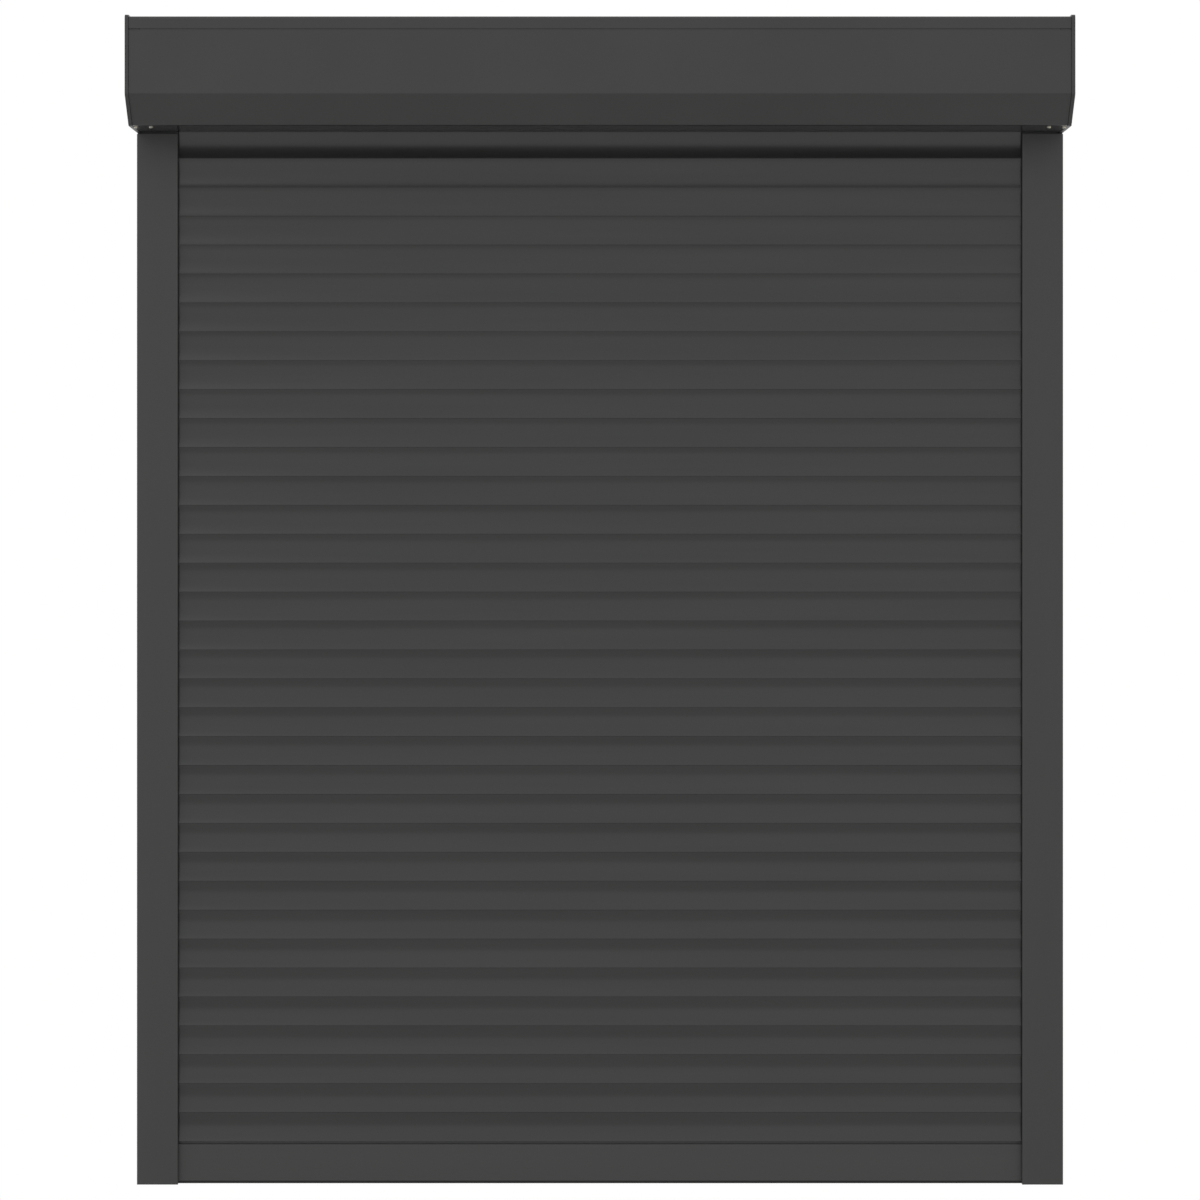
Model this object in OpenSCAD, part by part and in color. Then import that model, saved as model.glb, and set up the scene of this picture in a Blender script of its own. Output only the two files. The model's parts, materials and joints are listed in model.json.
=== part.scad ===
// Exterior roller shutter: box with a motorised octagonal roller, two guide rails,
// a curtain of hooked hollow slats and a bottom bar with a rubber seal.
// Millimetres, +Z up, front towards -Y, wall plane at the rear of the box.

/* [Overall] */
// Width over the guide rails
width = 1200; // [1100:10:1300]
// Height from the foot of the rails to the top of the box
height = 1500; // [1460:5:1540]

/* [Box] */
// Outside height and depth of the box
box_size = 137; // [136:0.5:140]
// Leg of the 45 degree chamfer at the lower front of the box
box_chamfer = 36; // [34:1:42]
// Thickness of the roll-formed box sheets
sheet_t = 1.2; // [0.9:0.1:1.4]
// Outside bend radius of the box sheets
bend_r = 4; // [3:0.25:5]
// Thickness of the end cap plate
rim_t = 4.5; // [4:0.1:5]
// How far the end cap stands proud of the sheets
rim_proud = 2; // [1.5:0.1:2.4]
// Distance of the front seam below the top sheet
seam_drop = 15.5; // [11:0.5:17]
// Open width of the front seam
seam_gap = 2.5; // [1.5:0.25:3.5]
// Width of the ledge inside each end cap that carries the sheets
ledge_w = 14; // [12:0.5:16]

/* [Guide rails] */
// Width of the guide rail seen from the front
rail_w = 53; // [50:0.5:56]
// Depth of the guide rail
rail_d = 22; // [21.5:0.25:23]
// Wall thickness of the guide rail
rail_wall = 1.8; // [1.5:0.1:2]
// Clear width of the fixing chamber at the outer side of the rail
chamber_w = 19.7; // [18:0.1:21]
// Gap between the rail top and the end cap
rail_gap = 1.6; // [1:0.1:2.2]
// Diameter of the side fixing holes
fixing_hole_d = 6.5; // [5.5:0.5:7.5]

/* [Curtain] */
// Radius of the hollow front face of a slat
slat_arc_r = 58; // [54:1:66]
// Thickness of a slat across its hollow body
slat_body_t = 5; // [4.8:0.05:5.2]
// Wall thickness of a slat
slat_wall = 0.9; // [0.8:0.05:1]
// Length of a slat end inside the guide rail
slat_entry = 20; // [17:0.5:22]
// Gap between neighbouring slats
slat_gap = 0.4; // [0.35:0.05:0.6]

/* [Bottom bar] */
// Height of the bar face
bar_h = 48; // [45:0.5:50]
// Thickness of the bar
bar_t = 8.5; // [8.1:0.1:8.7]
// Wall thickness of the bar
bar_wall = 1.4; // [1.2:0.1:1.6]
// Height of the bar above the sill
bar_lift = 3.2; // [2.4:0.1:3.6]

/* [Roller] */
// Octagonal shaft across its flats
shaft_af = 40; // [39:0.5:41]
// Wall thickness of the shaft
shaft_wall = 0.8; // [0.6:0.1:0.9]
// Diameter of the tubular motor
motor_d = 35; // [33:0.5:35.5]
// Length of the motor tube inside the shaft
motor_len = 350; // [300:5:400]
// Spacing of the hanger springs along the shaft
hanger_pitch = 400; // [340:5:450]
// Width of a hanger spring
hanger_w = 22; // [16:1:28]

/* [Hidden] */
$fn = 72;

// Small overlap that keeps cuts open and unions whole
bite = 1;
// Clearance between neighbouring pieces
clear = 0.3;
// Play of a piece on its seat
play = 0.2;

// Box
half_w = width / 2;
box_front = -box_size / 2;
box_rear = box_size / 2;
box_top = height;
box_bottom = height - box_size;
floor_proud = 0.5;
cap_in = half_w - rim_t;
cap_edge = 1;
cap_r = bend_r + cap_edge;
sheet_half = cap_in - play;
seam_z = box_top - rim_proud - seam_drop;
tongue_h = 16;
slot_gap = 2.5;
slot_front = box_rear - rail_d - slot_gap;
return_h = 14;
ledge_t = 2.5;
ledge_inset = rim_proud + sheet_t + play;
ledge_floor = floor_proud + sheet_t + play;
ledge_in = cap_in - ledge_w;
rear_foot_z = box_bottom + floor_proud + bend_r;
axis_y = 0;
axis_z = box_bottom + box_size / 2;
edge_normals = [[0, -1], [-sqrt(0.5), -sqrt(0.5)], [-1, 0], [0, 1], [1, 0]];

// Guide rails
rail_front = box_rear - rail_d;
rail_h = box_bottom - rail_gap;
rail_r = 1;
web_t = 1.5;
channel_u = rail_wall + chamber_w + web_t;
spigot_play = 0.5;
spigot_u1 = rail_wall + chamber_w - spigot_play;
skirt_half = half_w - channel_u;
seat_w = 8;
seat_t = 3.2;
groove_w = 4.4;
groove_t = 1.6;
groove_lip = 1;
pile_slot_w = 2;
pile_tip = 6.4;
fixing_z = [120, 480, 840, 1200];
access_hole_d = 12;
spigot_len = 62;
spigot_core_w = 7;
neck_set_back = 4;
guide_throat = 10.4;
guide_h = 15;
guide_rear_h = 8;
guide_wall = 2;
guide_flare_r = 9;
guide_set_back = 2.4;
guide_toe_h = 5;

// Curtain
slat_count = 35;
curtain_y = box_rear - rail_d / 2;
slat_depth = 8;
bar_joint = 3.6;
slat_z0 = bar_lift + bar_h + bar_joint;
curtain_over = 6.7;
slat_pitch = (rail_h + curtain_over - slat_z0) / slat_count;
slat_half = half_w - rail_w + slat_entry;
slat_h = slat_pitch - slat_gap;
slat_mid = slat_pitch / 2;
lip_a = -slat_depth / 2;
arc_a = lip_a - sqrt(slat_arc_r * slat_arc_r - slat_mid * slat_mid);
pocket_h = 8;
neck_a = -0.8;
neck_t = 0.8;
neck_rise = 6.9;
head_t = 0.9;
head_w = 2.1;
barb_w = 0.6;
barb_t = 1.7;
catch_a = 0.35;
catch_w = 0.95;
catch_b = 2.2;
catch_t = 0.9;

// Bottom bar
bar_inset = 2;
bar_half = slat_half - bar_inset;
bar_top = bar_lift + bar_h;
bar_r = 1.2;
bar_foot_t = 5.6;
tee_slot_w = 3.2;
tee_w = 6;
tee_h = 2.8;
tee_lip = 1.4;
seal_foot_w = 8;
seal_rest = 0.4;
glide_flange = 5.8;
glide_plug = 20;
glide_inset = 1;

// Roller
idle_space = 28;
drive_space = 52;
shaft_left = idle_space - half_w;
shaft_right = half_w - drive_space;
shaft_in_af = shaft_af - 2 * shaft_wall;
plug_af = shaft_in_af - 2 * play;
collar_rim = 2;
collar_af = shaft_af + 2 * collar_rim;
collar_t = 4;
capsule_len = 60;
bearing_r = 14;
bearing_bore_r = 6;
bearing_w = 8;
bearing_inset = 16;
bearing_x = half_w - bearing_inset;
bearing_ring_t = 2.4;
ball_count = 9;
ball_r = 2.3;
seat_ring_t = 5;
run_fit = 0.03;
motor_r = motor_d / 2;
motor_x0 = shaft_right - motor_len;
motor_wall = 3;
motor_end_t = 6;
motor_head_r = 24;
motor_head_gap = 4;
motor_head_x0 = shaft_right + motor_head_gap;
motor_head_inset = 20;
motor_head_x1 = half_w - motor_head_inset;
motor_head_flat = 3;
crown_len = 14;
crown_flange_t = 3;
wheel_len = 22;
stub_r = 6;
stub_inset = 2;
bracket_half = 36;
bracket_t = 3;
bracket_inset = 14;
bracket_x = half_w - bracket_inset;
bracket_hole = 28;
pad_r = 5;
hub_r = 18;
ring_gap = 1;
strap_t = 0.7;
strap_lift = 2.2;
strap_r = shaft_af / 2 + strap_lift;
strap_bead_r = 1.6;
strap_bead = [0.25, 2.2];
strap_end = [
  curtain_y + strap_bead[0] - axis_y,
  slat_z0 + slat_count * slat_pitch + neck_rise + strap_bead[1] - axis_z
];
strap_dist = norm(strap_end);
strap_turn = atan2(strap_end[1], strap_end[0]) + acos(strap_r / strap_dist);
strap_len = sqrt(strap_dist * strap_dist - strap_r * strap_r);

// Fasteners and grommet
screw_r = 1.45;
screw_hole_r = 1.5;
sheet_hole_r = 1.65;
screw_head_r = 2.8;
screw_head_t = 2;
screw_len = 9;
recess_w = 0.8;
recess_l = 3.2;
recess_d = 1.1;
lug_len = 29.5;
lug_h = 11;
lug_d = 16;
lug_back = 14.5;
lug_y = box_front + box_chamfer + lug_back;
lug_screw_inset = [7.5, 27];
rivet_r = 1.55;
rivet_hole_r = 1.65;
rivet_head_r = 3.2;
rivet_head_t = 1.1;
rivet_inset = 12;
rivet_x = half_w - rivet_inset;
rivet_len = 5;
rivet_edge = 31;
rear_rivet_z = [box_bottom + rivet_edge, box_top - rivet_edge];
top_rivet_y = [box_front + rivet_edge, box_rear - rivet_edge];
grommet_inset = 28;
grommet_x = half_w - grommet_inset;
grommet_rise = 9;
grommet_z = axis_z + grommet_rise;
grommet_hole_r = 6;
grommet_flange_r = 7.6;
grommet_flange_t = 1.4;
grommet_bore_r = 3.5;

coat = [0.27, 0.27, 0.27];
zinc = [0.75, 0.76, 0.78];
black = [0.08, 0.08, 0.09];
steel = [0.6, 0.62, 0.64];

// Corner points of the box section, drawn in from the end cap outline
function outline(d, db) = [
  [box_rear - d, box_bottom + db],
  [box_front + box_chamfer + d * sqrt(2) - db, box_bottom + db],
  [box_front + d, box_bottom + box_chamfer + d * sqrt(2) - d],
  [box_front + d, box_top - d],
  [box_rear - d, box_top - d]
];

// Points where the corner arcs leave the straight sides
function round_points(d, db, r) =
  let (c = outline(d + r, db + r))
  [for (i = [0 : 4]) each [c[i] + r * edge_normals[(i + 4) % 5], c[i] + r * edge_normals[i]]];

// A section in the Y-Z plane drawn out along X
module along_x(x0, x1) {
  translate([x0, 0, 0])
    rotate([90, 0, 90])
      linear_extrude(x1 - x0)
        children();
}

// The same piece for the left or the right side
module on_side(side) {
  mirror([side < 0 ? 1 : 0, 0, 0])
    children();
}

module round_square(w, d, r) {
  polygon([[r, 0], [w - r, 0], [w, r], [w, d - r], [w - r, d], [r, d], [0, d - r], [0, r]]);
  for (x = [r, w - r], y = [r, d - r])
    translate([x, y])
      circle(r = r);
}

module box_section(d, db, r) {
  polygon(round_points(d, db, r));
  for (c = outline(d + r, db + r))
    translate(c)
      circle(r = r);
}

module sheet_ring() {
  difference() {
    box_section(rim_proud, floor_proud, bend_r);
    box_section(rim_proud + sheet_t, floor_proud + sheet_t, bend_r - sheet_t);
  }
}

module octagon(af) {
  rotate(22.5)
    circle(r = af / 2 / cos(22.5), $fn = 8);
}

module on_axis() {
  translate([axis_y, axis_z])
    children();
}

module rod_x(x0, x1, r) {
  along_x(x0, x1)
    on_axis()
      circle(r = r);
}

// Rivet positions of one side, drawn with the axis pointing into the box
module at_rear_rivets(side) {
  for (z = rear_rivet_z)
    translate([side * rivet_x, box_rear - rim_proud, z])
      rotate([90, 0, 0])
        children();
}

module at_top_rivets(side) {
  for (y = top_rivet_y)
    translate([side * rivet_x, y, box_top - rim_proud])
      rotate([180, 0, 0])
        children();
}

// Screw positions under the panel, drawn with the axis pointing up
module at_panel_screws(side) {
  for (inset = lug_screw_inset)
    translate([side * (half_w - inset), lug_y, box_bottom + floor_proud])
      children();
}

module at_bracket_screws() {
  for (dy = [-1, 1], dz = [-1, 1])
    translate([bracket_x, axis_y + dy * bracket_hole, axis_z + dz * bracket_hole])
      rotate([0, 90, 0])
        children();
}

module upper_shell() {
  color(coat)
  difference() {
    union() {
      along_x(-sheet_half, sheet_half)
        intersection() {
          sheet_ring();
          union() {
            translate([box_front, seam_z])
              square([box_size, box_size]);
            translate([box_rear - rim_proud - sheet_t, rear_foot_z])
              square([box_size, box_size]);
          }
        }
      along_x(-ledge_in + clear, ledge_in - clear)
        seam_tongue();
      along_x(-skirt_half, skirt_half)
        translate([box_rear - rim_proud - sheet_t, box_bottom + floor_proud])
          square([sheet_t, bend_r + bite]);
    }
    for (side = [-1, 1]) {
      at_rear_rivets(side)
        translate([0, 0, -bite])
          cylinder(r = rivet_hole_r, h = sheet_t + 2 * bite);
      at_top_rivets(side)
        translate([0, 0, -bite])
          cylinder(r = rivet_hole_r, h = sheet_t + 2 * bite);
    }
    translate([grommet_x, box_rear, grommet_z])
      rotate([90, 0, 0])
        cylinder(r = grommet_hole_r, h = rim_proud + sheet_t + bite);
  }
}

// Joggled edge that closes the front seam from behind
module seam_tongue() {
  front = box_front + rim_proud;
  translate([front, seam_z])
    square([2 * sheet_t + clear, sheet_t]);
  translate([front + sheet_t + clear, seam_z - tongue_h])
    square([sheet_t, tongue_h + sheet_t]);
}

module inspection_panel() {
  color(coat)
  difference() {
    union() {
      along_x(-sheet_half, sheet_half)
        intersection() {
          sheet_ring();
          translate([box_front, box_bottom])
            square([slot_front - box_front, seam_z - seam_gap - box_bottom]);
        }
      along_x(-ledge_in + clear, ledge_in - clear)
        translate([slot_front - sheet_t, box_bottom + floor_proud])
          square([sheet_t, return_h]);
    }
    for (side = [-1, 1])
      at_panel_screws(side)
        translate([0, 0, -bite])
          cylinder(r = sheet_hole_r, h = sheet_t + 2 * bite);
  }
}

// Plate, sheet ledge, screw lug and rail spigot that both end caps share
module cap_body(side) {
  difference() {
    union() {
      on_side(side) {
        along_x(cap_in, half_w)
          box_section(0, 0, cap_r);
        along_x(ledge_in, cap_in + bite)
          difference() {
            box_section(ledge_inset, ledge_floor, bend_r - sheet_t);
            box_section(ledge_inset + ledge_t, ledge_floor + ledge_t, bend_r - sheet_t);
          }
        translate([cap_in - lug_len, lug_y - lug_d / 2, box_bottom + ledge_floor])
          cube([lug_len + bite, lug_d, lug_h]);
        rail_spigot();
        children();
      }
    }
    at_panel_screws(side)
      translate([0, 0, -bite])
        cylinder(r = screw_hole_r, h = screw_len + 2 * bite);
    at_rear_rivets(side)
      cylinder(r = rivet_hole_r, h = rivet_len + bite);
    at_top_rivets(side)
      cylinder(r = rivet_hole_r, h = rivet_len + bite);
  }
}

// Hollow tongue that plugs into the chamber of the guide rail, under a shoulder
// that reaches over the rail's outer wall and is set back from the front
module rail_spigot() {
  x0 = half_w - spigot_u1;
  x1 = half_w - rail_wall - spigot_play;
  y0 = rail_front + rail_wall + spigot_play;
  y1 = box_rear - rail_wall - spigot_play;
  top = box_bottom + ledge_floor + bite;
  difference() {
    translate([x0, y0, top - spigot_len])
      cube([x1 - x0, y1 - y0, spigot_len]);
    translate([(x0 + x1 - spigot_core_w) / 2, (y0 + y1 - spigot_core_w) / 2, top - spigot_len - bite])
      cube([spigot_core_w, spigot_core_w, spigot_len - ledge_floor - 2 * bite]);
    translate([x0 - bite, y0 - bite, rail_h - bite])
      cube([x1 - x0 + 2 * bite, neck_set_back + bite, box_bottom + ledge_floor - rail_h + bite]);
  }
  translate([x0, y0 + neck_set_back, rail_h + clear])
    cube([half_w - clear - x0, y1 - y0 - neck_set_back, top - rail_h - clear]);
}

module end_cap_left() {
  color(coat)
  difference() {
    cap_body(-1)
      rod_x(bearing_x - bite, cap_in + bite, bearing_r + seat_ring_t);
    rod_x(-bearing_x - bearing_w - clear, -bearing_x + 2 * bite, bearing_r + run_fit);
  }
}

module end_cap_right() {
  color(coat)
  difference() {
    cap_body(1)
      at_bracket_screws()
        translate([0, 0, bracket_t])
          cylinder(r = pad_r, h = cap_in - bracket_x - bracket_t + bite);
    at_bracket_screws()
      cylinder(r = screw_hole_r, h = screw_len + bite);
  }
}

// Seat of one pile seal along the mouth of the rail channel
module seal_seat() {
  u0 = rail_w - seat_w;
  difference() {
    translate([u0, rail_wall - bite / 2])
      square([seat_w, seat_t + bite / 2]);
    translate([u0 + (seat_w - groove_w) / 2, rail_wall + seat_t - groove_lip - groove_t])
      square([groove_w, groove_t]);
    translate([u0 + (seat_w - pile_slot_w) / 2, rail_wall + seat_t - groove_lip - bite / 2])
      square([pile_slot_w, groove_lip + bite]);
  }
}

module front_and_back() {
  children();
  translate([0, rail_d])
    mirror([0, 1])
      children();
}

module rail_section() {
  inner_d = rail_d - 2 * rail_wall;
  difference() {
    round_square(rail_w, rail_d, rail_r);
    translate([rail_wall, rail_wall])
      square([chamber_w, inner_d]);
    translate([channel_u, rail_wall])
      square([rail_w, inner_d]);
  }
  front_and_back()
    seal_seat();
}

module on_rail(side) {
  on_side(-side)
    translate([-half_w, rail_front, 0])
      children();
}

module guide_rail(side) {
  color(coat)
  on_rail(side)
    difference() {
      linear_extrude(rail_h)
        rail_section();
      for (z = fixing_z) {
        translate([-bite, rail_d / 2, z])
          rotate([0, 90, 0])
            cylinder(d = fixing_hole_d, h = rail_wall + 2 * bite);
        translate([channel_u - web_t - bite, rail_d / 2, z])
          rotate([0, 90, 0])
            cylinder(d = access_hole_d, h = web_t + 2 * bite);
      }
    }
}

module guide_rail_left() {
  guide_rail(-1);
}

module guide_rail_right() {
  guide_rail(1);
}

module seal_strip() {
  u0 = rail_w - seat_w / 2;
  v0 = rail_wall + seat_t - groove_lip - groove_t;
  base_w = groove_w - 2 * clear;
  pile_w = pile_slot_w - 2 * clear;
  translate([u0 - base_w / 2, v0 + clear])
    square([base_w, groove_t - 2 * clear]);
  translate([u0 - pile_w / 2, v0 + clear])
    square([pile_w, pile_tip - v0 - clear]);
}

module rail_seals(side) {
  color(black)
  on_rail(side)
    linear_extrude(rail_h - clear)
      front_and_back()
        seal_strip();
}

module rail_seals_left() {
  rail_seals(-1);
}

module rail_seals_right() {
  rail_seals(1);
}

// Flared plastic mouth on top of the rail that leads the curtain into the channel:
// it reaches from the spigot to the inner side of the rail, on a toe that is set back
module inlet_guide(side) {
  u0 = spigot_u1 + play;
  u1 = rail_w - clear / 2;
  v0 = rail_wall;
  v1 = rail_d - rim_proud - sheet_t - clear;
  throat_u = channel_u + guide_wall;
  throat_v0 = (rail_d - guide_throat) / 2;
  throat_v1 = (rail_d + guide_throat) / 2;
  color(black)
  on_rail(side)
    translate([0, 0, rail_h + clear])
      difference() {
        translate([u0, v0, 0])
          cube([u1 - u0, v1 - v0, guide_h]);
        translate([throat_u, throat_v0, -bite])
          cube([rail_w, guide_throat, guide_h + 2 * bite]);
        translate([0, v0 - bite, -bite])
          cube([rail_w, guide_set_back + bite, guide_toe_h + bite]);
        along_x(0, rail_w)
          translate([throat_v0 - guide_wall + guide_flare_r, guide_h + guide_wall])
            circle(r = guide_flare_r);
        translate([0, throat_v1 - bite, guide_rear_h])
          cube([rail_w, rail_d, guide_h]);
        translate([0, v0 - bite, guide_rear_h])
          cube([throat_u, rail_d, guide_h]);
      }
}

module inlet_guide_left() {
  inlet_guide(-1);
}

module inlet_guide_right() {
  inlet_guide(1);
}

// Pan head screw with a cross recess, head at the origin and shank along +Z
module pan_screw() {
  difference() {
    translate([0, 0, -screw_head_t])
      cylinder(r = screw_head_r, h = screw_head_t);
    for (turn = [0, 90])
      rotate(turn)
        translate([-recess_l / 2, -recess_w / 2, -screw_head_t - bite])
          cube([recess_l, recess_w, recess_d + bite]);
  }
  cylinder(r = screw_r, h = screw_len);
}

module cap_screws() {
  color(zinc) {
    for (side = [-1, 1])
      at_panel_screws(side)
        pan_screw();
    at_bracket_screws()
      pan_screw();
  }
}

module rivet() {
  translate([0, 0, -rivet_head_t])
    cylinder(r = rivet_head_r, h = rivet_head_t);
  cylinder(r = rivet_r, h = rivet_len);
}

module shell_rivets() {
  color(coat)
  for (side = [-1, 1]) {
    at_rear_rivets(side)
      rivet();
    at_top_rivets(side)
      rivet();
  }
}

// Ball bearing of the idle end: two rings with a groove and a ring of balls
module idler_bearing() {
  x0 = -bearing_x - bearing_w;
  x1 = -bearing_x;
  mid_r = (bearing_r + bearing_bore_r) / 2;
  groove_r = ball_r + play / 2;
  color(steel) {
    difference() {
      rod_x(x0, x1, bearing_r);
      rod_x(x0 - bite, x1 + bite, bearing_r - bearing_ring_t);
      ball_track(mid_r, groove_r);
    }
    difference() {
      rod_x(x0, x1, bearing_bore_r + bearing_ring_t);
      rod_x(x0 - bite, x1 + bite, bearing_bore_r);
      ball_track(mid_r, groove_r);
    }
    for (i = [0 : ball_count - 1])
      translate([(x0 + x1) / 2, axis_y, axis_z])
        rotate([i * 360 / ball_count, 0, 0])
          translate([0, mid_r, 0])
            sphere(r = ball_r);
  }
}

module ball_track(ring_r, tube_r) {
  translate([-bearing_x - bearing_w / 2, axis_y, axis_z])
    rotate([0, 90, 0])
      rotate_extrude()
        translate([ring_r, 0])
          circle(r = tube_r);
}

module motor_bracket() {
  color(zinc)
  difference() {
    union() {
      translate([bracket_x, axis_y - bracket_half, axis_z - bracket_half])
        cube([bracket_t - play, 2 * bracket_half, 2 * bracket_half]);
      rod_x(motor_head_x1 + clear, bracket_x + bite, hub_r);
    }
    at_bracket_screws()
      translate([0, 0, -bite])
        cylinder(r = sheet_hole_r, h = bracket_t + 2 * bite);
    rod_x(motor_head_x1, half_w, hub_r / 2);
  }
}

module motor_tube() {
  color(zinc) {
    difference() {
      rod_x(motor_x0, motor_head_x0 - clear, motor_r);
      rod_x(motor_x0 + motor_end_t, motor_head_x0, motor_r - motor_wall);
    }
    rod_x(motor_x0 - wheel_len + stub_inset, motor_x0 + bite, stub_r);
  }
}

module motor_head() {
  flat = motor_head_r - motor_head_flat;
  color(black)
  along_x(motor_head_x0, motor_head_x1)
    on_axis()
      intersection() {
        circle(r = motor_head_r);
        square([2 * flat, 2 * motor_head_r], center = true);
      }
}

module cable_grommet() {
  y0 = box_rear - rim_proud - sheet_t;
  color(black)
  translate([grommet_x, y0, grommet_z])
    rotate([-90, 0, 0])
      difference() {
        union() {
          cylinder(r = grommet_hole_r - play / 2, h = sheet_t);
          translate([0, 0, sheet_t])
            cylinder(r = grommet_flange_r, h = grommet_flange_t);
          translate([0, 0, -grommet_flange_t])
            cylinder(r = grommet_flange_r, h = grommet_flange_t);
        }
        translate([0, 0, -grommet_flange_t - bite])
          cylinder(r = grommet_bore_r, h = sheet_t + 2 * grommet_flange_t + 2 * bite);
      }
}

module octagon_shaft() {
  color(zinc)
  along_x(shaft_left, shaft_right)
    on_axis()
      difference() {
        octagon(shaft_af);
        octagon(shaft_in_af);
      }
}

module idler_capsule() {
  color(black) {
    along_x(shaft_left - clear - collar_t, shaft_left - clear)
      on_axis()
        octagon(collar_af);
    along_x(shaft_left - clear - bite, shaft_left + capsule_len)
      on_axis()
        octagon(plug_af);
    rod_x(-bearing_x - bearing_w, shaft_left - clear - collar_t + bite, bearing_bore_r - run_fit);
  }
}

module drive_wheel() {
  color(black)
  along_x(motor_x0 - wheel_len, motor_x0 - clear)
    on_axis()
      difference() {
        octagon(plug_af);
        circle(r = stub_r + 2 * run_fit);
      }
}

module crown_ring() {
  color(black)
  difference() {
    union() {
      along_x(shaft_right - crown_len, shaft_right + clear + bite)
        on_axis()
          octagon(plug_af);
      along_x(shaft_right + clear, shaft_right + clear + crown_flange_t)
        on_axis()
          octagon(collar_af);
    }
    rod_x(shaft_right - crown_len - bite, motor_head_x0, motor_r + 2 * run_fit);
  }
}

// Spring steel strip: a collar round the shaft and a strap down to the top slat
module hanger_section() {
  difference() {
    octagon(shaft_af + ring_gap + 2 * strap_t);
    octagon(shaft_af + ring_gap);
  }
  rotate(strap_turn)
    translate([strap_r - strap_t / 2, -strap_len])
      square([strap_t, strap_len]);
  translate(strap_end)
    circle(r = strap_bead_r);
}

module hanger_springs() {
  color(steel)
  for (x = [-hanger_pitch, 0, hanger_pitch])
    along_x(x - hanger_w / 2, x + hanger_w / 2)
      on_axis()
        hanger_section();
}

// Neck and barbed head that hook into the pocket of the slat above
module link_hook(foot_b, joint_b) {
  top_b = joint_b + neck_rise;
  translate([neck_a, foot_b])
    square([neck_t, top_b - foot_b]);
  translate([neck_a, top_b - head_t])
    square([head_w, head_t]);
  translate([neck_a + head_w - barb_w, top_b - barb_t])
    square([barb_w, barb_t]);
}

module arc_band(r0, r1, b0, b1) {
  intersection() {
    translate([arc_a, slat_mid])
      difference() {
        circle(r = r1);
        circle(r = r0);
      }
    translate([-2 * slat_depth, b0])
      square([4 * slat_depth, b1 - b0]);
  }
}

// Hollow slat with a concave front, a link pocket at the foot and a hook on top
module slat_section() {
  r0 = slat_arc_r;
  r1 = slat_arc_r + slat_body_t;
  difference() {
    arc_band(r0, r1, 0, slat_h);
    arc_band(r0 + slat_wall, r1 - slat_wall, pocket_h + slat_wall, slat_h - slat_wall);
    arc_band(r0 + slat_wall, r1 - slat_wall, -bite, pocket_h);
  }
  translate([catch_a, catch_b])
    square([catch_w, catch_t]);
  link_hook(slat_h - slat_wall / 2, slat_pitch);
}

module slat(k) {
  color(coat)
  translate([0, curtain_y, slat_z0 + (k - 1) * slat_pitch])
    along_x(-slat_half, slat_half)
      slat_section();
}

module bar_section() {
  foot_b = bar_lift + bar_foot_t;
  difference() {
    translate([-bar_t / 2, bar_lift])
      round_square(bar_t, bar_h, bar_r);
    translate([bar_wall - bar_t / 2, foot_b])
      square([bar_t - 2 * bar_wall, bar_top - bar_wall - foot_b]);
    translate([-tee_slot_w / 2, bar_lift - bite])
      square([tee_slot_w, tee_lip + 2 * bite]);
    translate([-tee_w / 2, bar_lift + tee_lip])
      square([tee_w, tee_h]);
  }
  link_hook(bar_top - bar_wall / 2, slat_z0);
}

module bottom_bar() {
  color(coat)
  translate([0, curtain_y, 0])
    along_x(-bar_half, bar_half)
      bar_section();
}

module sill_seal() {
  stem_w = tee_slot_w - 2 * clear;
  head_w = tee_w - 2 * clear;
  head_b = bar_lift + tee_lip + clear;
  color(black)
  translate([0, curtain_y, 0])
    along_x(-bar_half, bar_half) {
      translate([-seal_foot_w / 2, seal_rest])
        square([seal_foot_w, bar_lift - clear - seal_rest]);
      translate([-stem_w / 2, seal_rest])
        square([stem_w, head_b - seal_rest + bite]);
      translate([-head_w / 2, head_b])
        square([head_w, tee_h - 2 * clear]);
    }
}

module bar_end_glides() {
  plug_t = bar_t - 2 * bar_wall - 2 * clear;
  plug_b = bar_lift + bar_foot_t + clear;
  plug_h = bar_top - bar_wall - clear - plug_b;
  flange_t = bar_t - 2 * clear;
  color(black)
  for (side = [-1, 1])
    on_side(side)
      translate([0, curtain_y, 0]) {
        along_x(bar_half - glide_plug, bar_half + clear + bite)
          translate([-plug_t / 2, plug_b])
            square([plug_t, plug_h]);
        along_x(bar_half + clear, bar_half + glide_flange)
          translate([-flange_t / 2, bar_lift + glide_inset])
            square([flange_t, bar_h - 2 * glide_inset]);
      }
}

upper_shell();
inspection_panel();
end_cap_left();
end_cap_right();
guide_rail_left();
guide_rail_right();
rail_seals_left();
rail_seals_right();
inlet_guide_left();
inlet_guide_right();
cap_screws();
shell_rivets();
idler_bearing();
motor_bracket();
motor_tube();
motor_head();
cable_grommet();
octagon_shaft();
idler_capsule();
drive_wheel();
crown_ring();
hanger_springs();
bottom_bar();
sill_seal();
bar_end_glides();
slat(1);  // slat_01
slat(2);  // slat_02
slat(3);  // slat_03
slat(4);  // slat_04
slat(5);  // slat_05
slat(6);  // slat_06
slat(7);  // slat_07
slat(8);  // slat_08
slat(9);  // slat_09
slat(10);  // slat_10
slat(11);  // slat_11
slat(12);  // slat_12
slat(13);  // slat_13
slat(14);  // slat_14
slat(15);  // slat_15
slat(16);  // slat_16
slat(17);  // slat_17
slat(18);  // slat_18
slat(19);  // slat_19
slat(20);  // slat_20
slat(21);  // slat_21
slat(22);  // slat_22
slat(23);  // slat_23
slat(24);  // slat_24
slat(25);  // slat_25
slat(26);  // slat_26
slat(27);  // slat_27
slat(28);  // slat_28
slat(29);  // slat_29
slat(30);  // slat_30
slat(31);  // slat_31
slat(32);  // slat_32
slat(33);  // slat_33
slat(34);  // slat_34
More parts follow.
